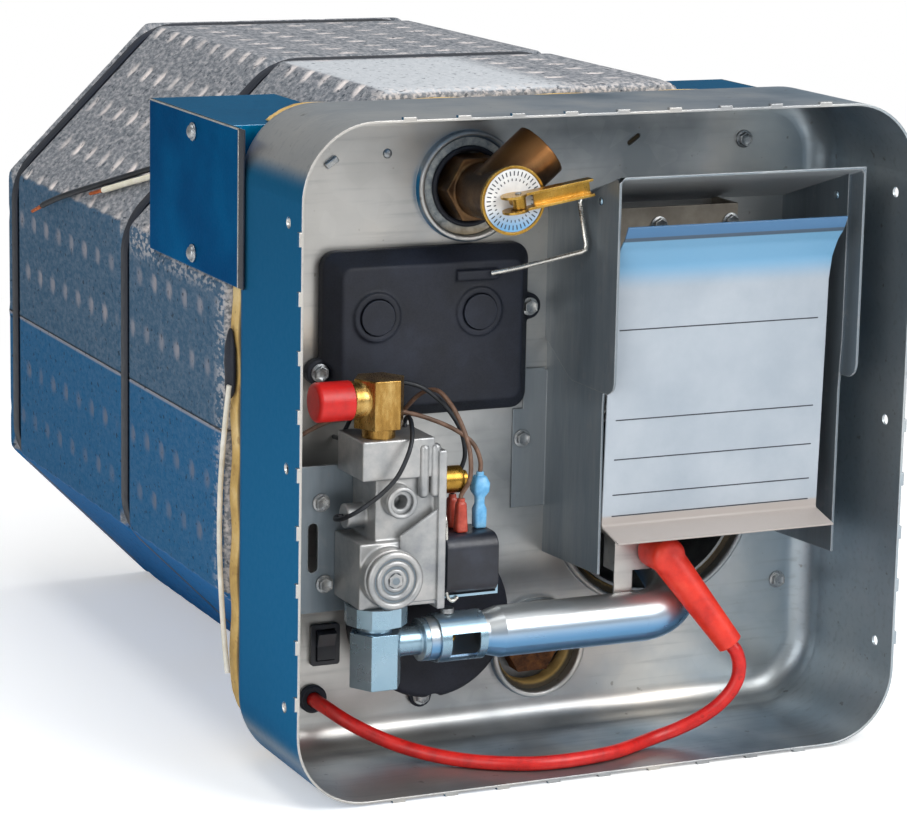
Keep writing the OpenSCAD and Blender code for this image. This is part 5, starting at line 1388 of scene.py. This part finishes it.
# Small fixings on the panel: a blind rivet and a spring clip near the upper left corner
fixings = {"rivet": (-82, 85, 294), "rivetRadius": 2.4, "rivetFlat": 0.5, "clip": (-111, 84, 291),
           "clipSize": (7, 2.2, 3.2), "clipTilt": -35, "clipEdge": 0.6}
rivet = solid("uv_sphere", "panelRivet", at(*fixings["rivet"]), segments=18, ring_count=10,
              radius=mm(fixings["rivetRadius"]), scale=(1, fixings["rivetFlat"], 1))
smoothByAngle(rivet, 60)
springClip = solid("cube", "springClip", at(*fixings["clip"]), size=mm(1), scale=fixings["clipSize"],
                   rotation=(0, math.radians(fixings["clipTilt"]), 0))
rounded(springClip, fixings["clipEdge"])
dress(joinPieces([rivet, springClip], "panelFixings"), "zincScrew", "steel")
print("small pieces placed")


# Stage: a white floor that keeps the shadow, and soft light from a large window and a fill
stage = {
    "floorSize": 8.0, "floorColour": "#f4f4f4", "floorGlow": 0.34, "nearMm": 450, "farMm": 1100,
    "world": "#e2e5e8", "worldStrength": 0.42, "aim": (0, 150, 150),
    # name, place, size and power
    "lamps": [("key", (750, -1250, 1150), 1100, 24), ("fill", (-1200, -900, 600), 1000, 9),
              ("top", (0, 150, 1500), 1200, 13)],
}
white = (1, 1, 1, 1)


def addFloor():
    # seen straight on, the floor glows up to white away from the object, so only the shadow near it shows
    floor = solid("plane", "floor", (0, 0, 0), size=stage["floorSize"])
    material, tree, shader, coords = startMaterial("floorPaper")
    shader.inputs["Base Color"].default_value = linear(stage["floorColour"])
    shader.inputs["Roughness"].default_value = 0.9
    shader.inputs["Specular IOR Level"].default_value = 0.0
    shader.inputs["Emission Color"].default_value = white
    seen = addNode(tree, "ShaderNodeLightPath").outputs["Is Camera Ray"]
    glow = addNode(tree, "ShaderNodeMath", {"operation": "MULTIPLY"}, {0: seen, 1: stage["floorGlow"]})
    tree.links.new(glow.outputs[0], shader.inputs["Emission Strength"])
    far = addNode(tree, "ShaderNodeVectorMath", {"operation": "LENGTH"}, {0: coords}).outputs["Value"]
    away = addNode(tree, "ShaderNodeMapRange", {"interpolation_type": "SMOOTHSTEP"}, {
        "Value": far, "From Min": mm(stage["nearMm"]), "From Max": mm(stage["farMm"])}).outputs["Result"]
    share = addNode(tree, "ShaderNodeMath", {"operation": "MULTIPLY"}, {0: seen, 1: away}).outputs[0]
    lit = addNode(tree, "ShaderNodeEmission", None, {"Color": white, "Strength": 1.0}).outputs[0]
    mix = addNode(tree, "ShaderNodeMixShader", None, {0: share, 1: shader.outputs[0], 2: lit})
    tree.links.new(mix.outputs[0], tree.nodes["Material Output"].inputs["Surface"])
    floor.data.materials.append(material)


def addWorld():
    world = bpy.data.worlds.new("studio")
    bpy.context.scene.world = world
    world.use_nodes = True
    tree = world.node_tree
    tree.nodes.clear()
    rays = addNode(tree, "ShaderNodeLightPath").outputs
    seen = addNode(tree, "ShaderNodeMath", {"operation": "MAXIMUM"}, {
        0: rays["Is Camera Ray"], 1: rays["Is Transmission Ray"]}).outputs[0]
    light = addNode(tree, "ShaderNodeBackground", None, {
        "Color": linear(stage["world"]), "Strength": stage["worldStrength"]}).outputs[0]
    plain = addNode(tree, "ShaderNodeBackground", None, {"Color": white, "Strength": 1.0}).outputs[0]
    mix = addNode(tree, "ShaderNodeMixShader", None, {0: seen, 1: light, 2: plain})
    addNode(tree, "ShaderNodeOutputWorld", None, {"Surface": mix.outputs[0]})


def addLamp(name, place, sizeMm, power):
    data = bpy.data.lights.new(name, "AREA")
    data.shape = "SQUARE"
    data.size = mm(sizeMm)
    data.energy = power
    lamp = linked(name, data)
    lamp.location = at(*place)
    aim = at(*stage["aim"]) - lamp.location
    lamp.rotation_euler = aim.to_track_quat("-Z", "Y").to_euler()


addFloor()
addWorld()
for lamp in stage["lamps"]:
    addLamp(*lamp)
bpy.context.scene.view_settings.view_transform = "Standard"
print("stage lit")

deselectAll()
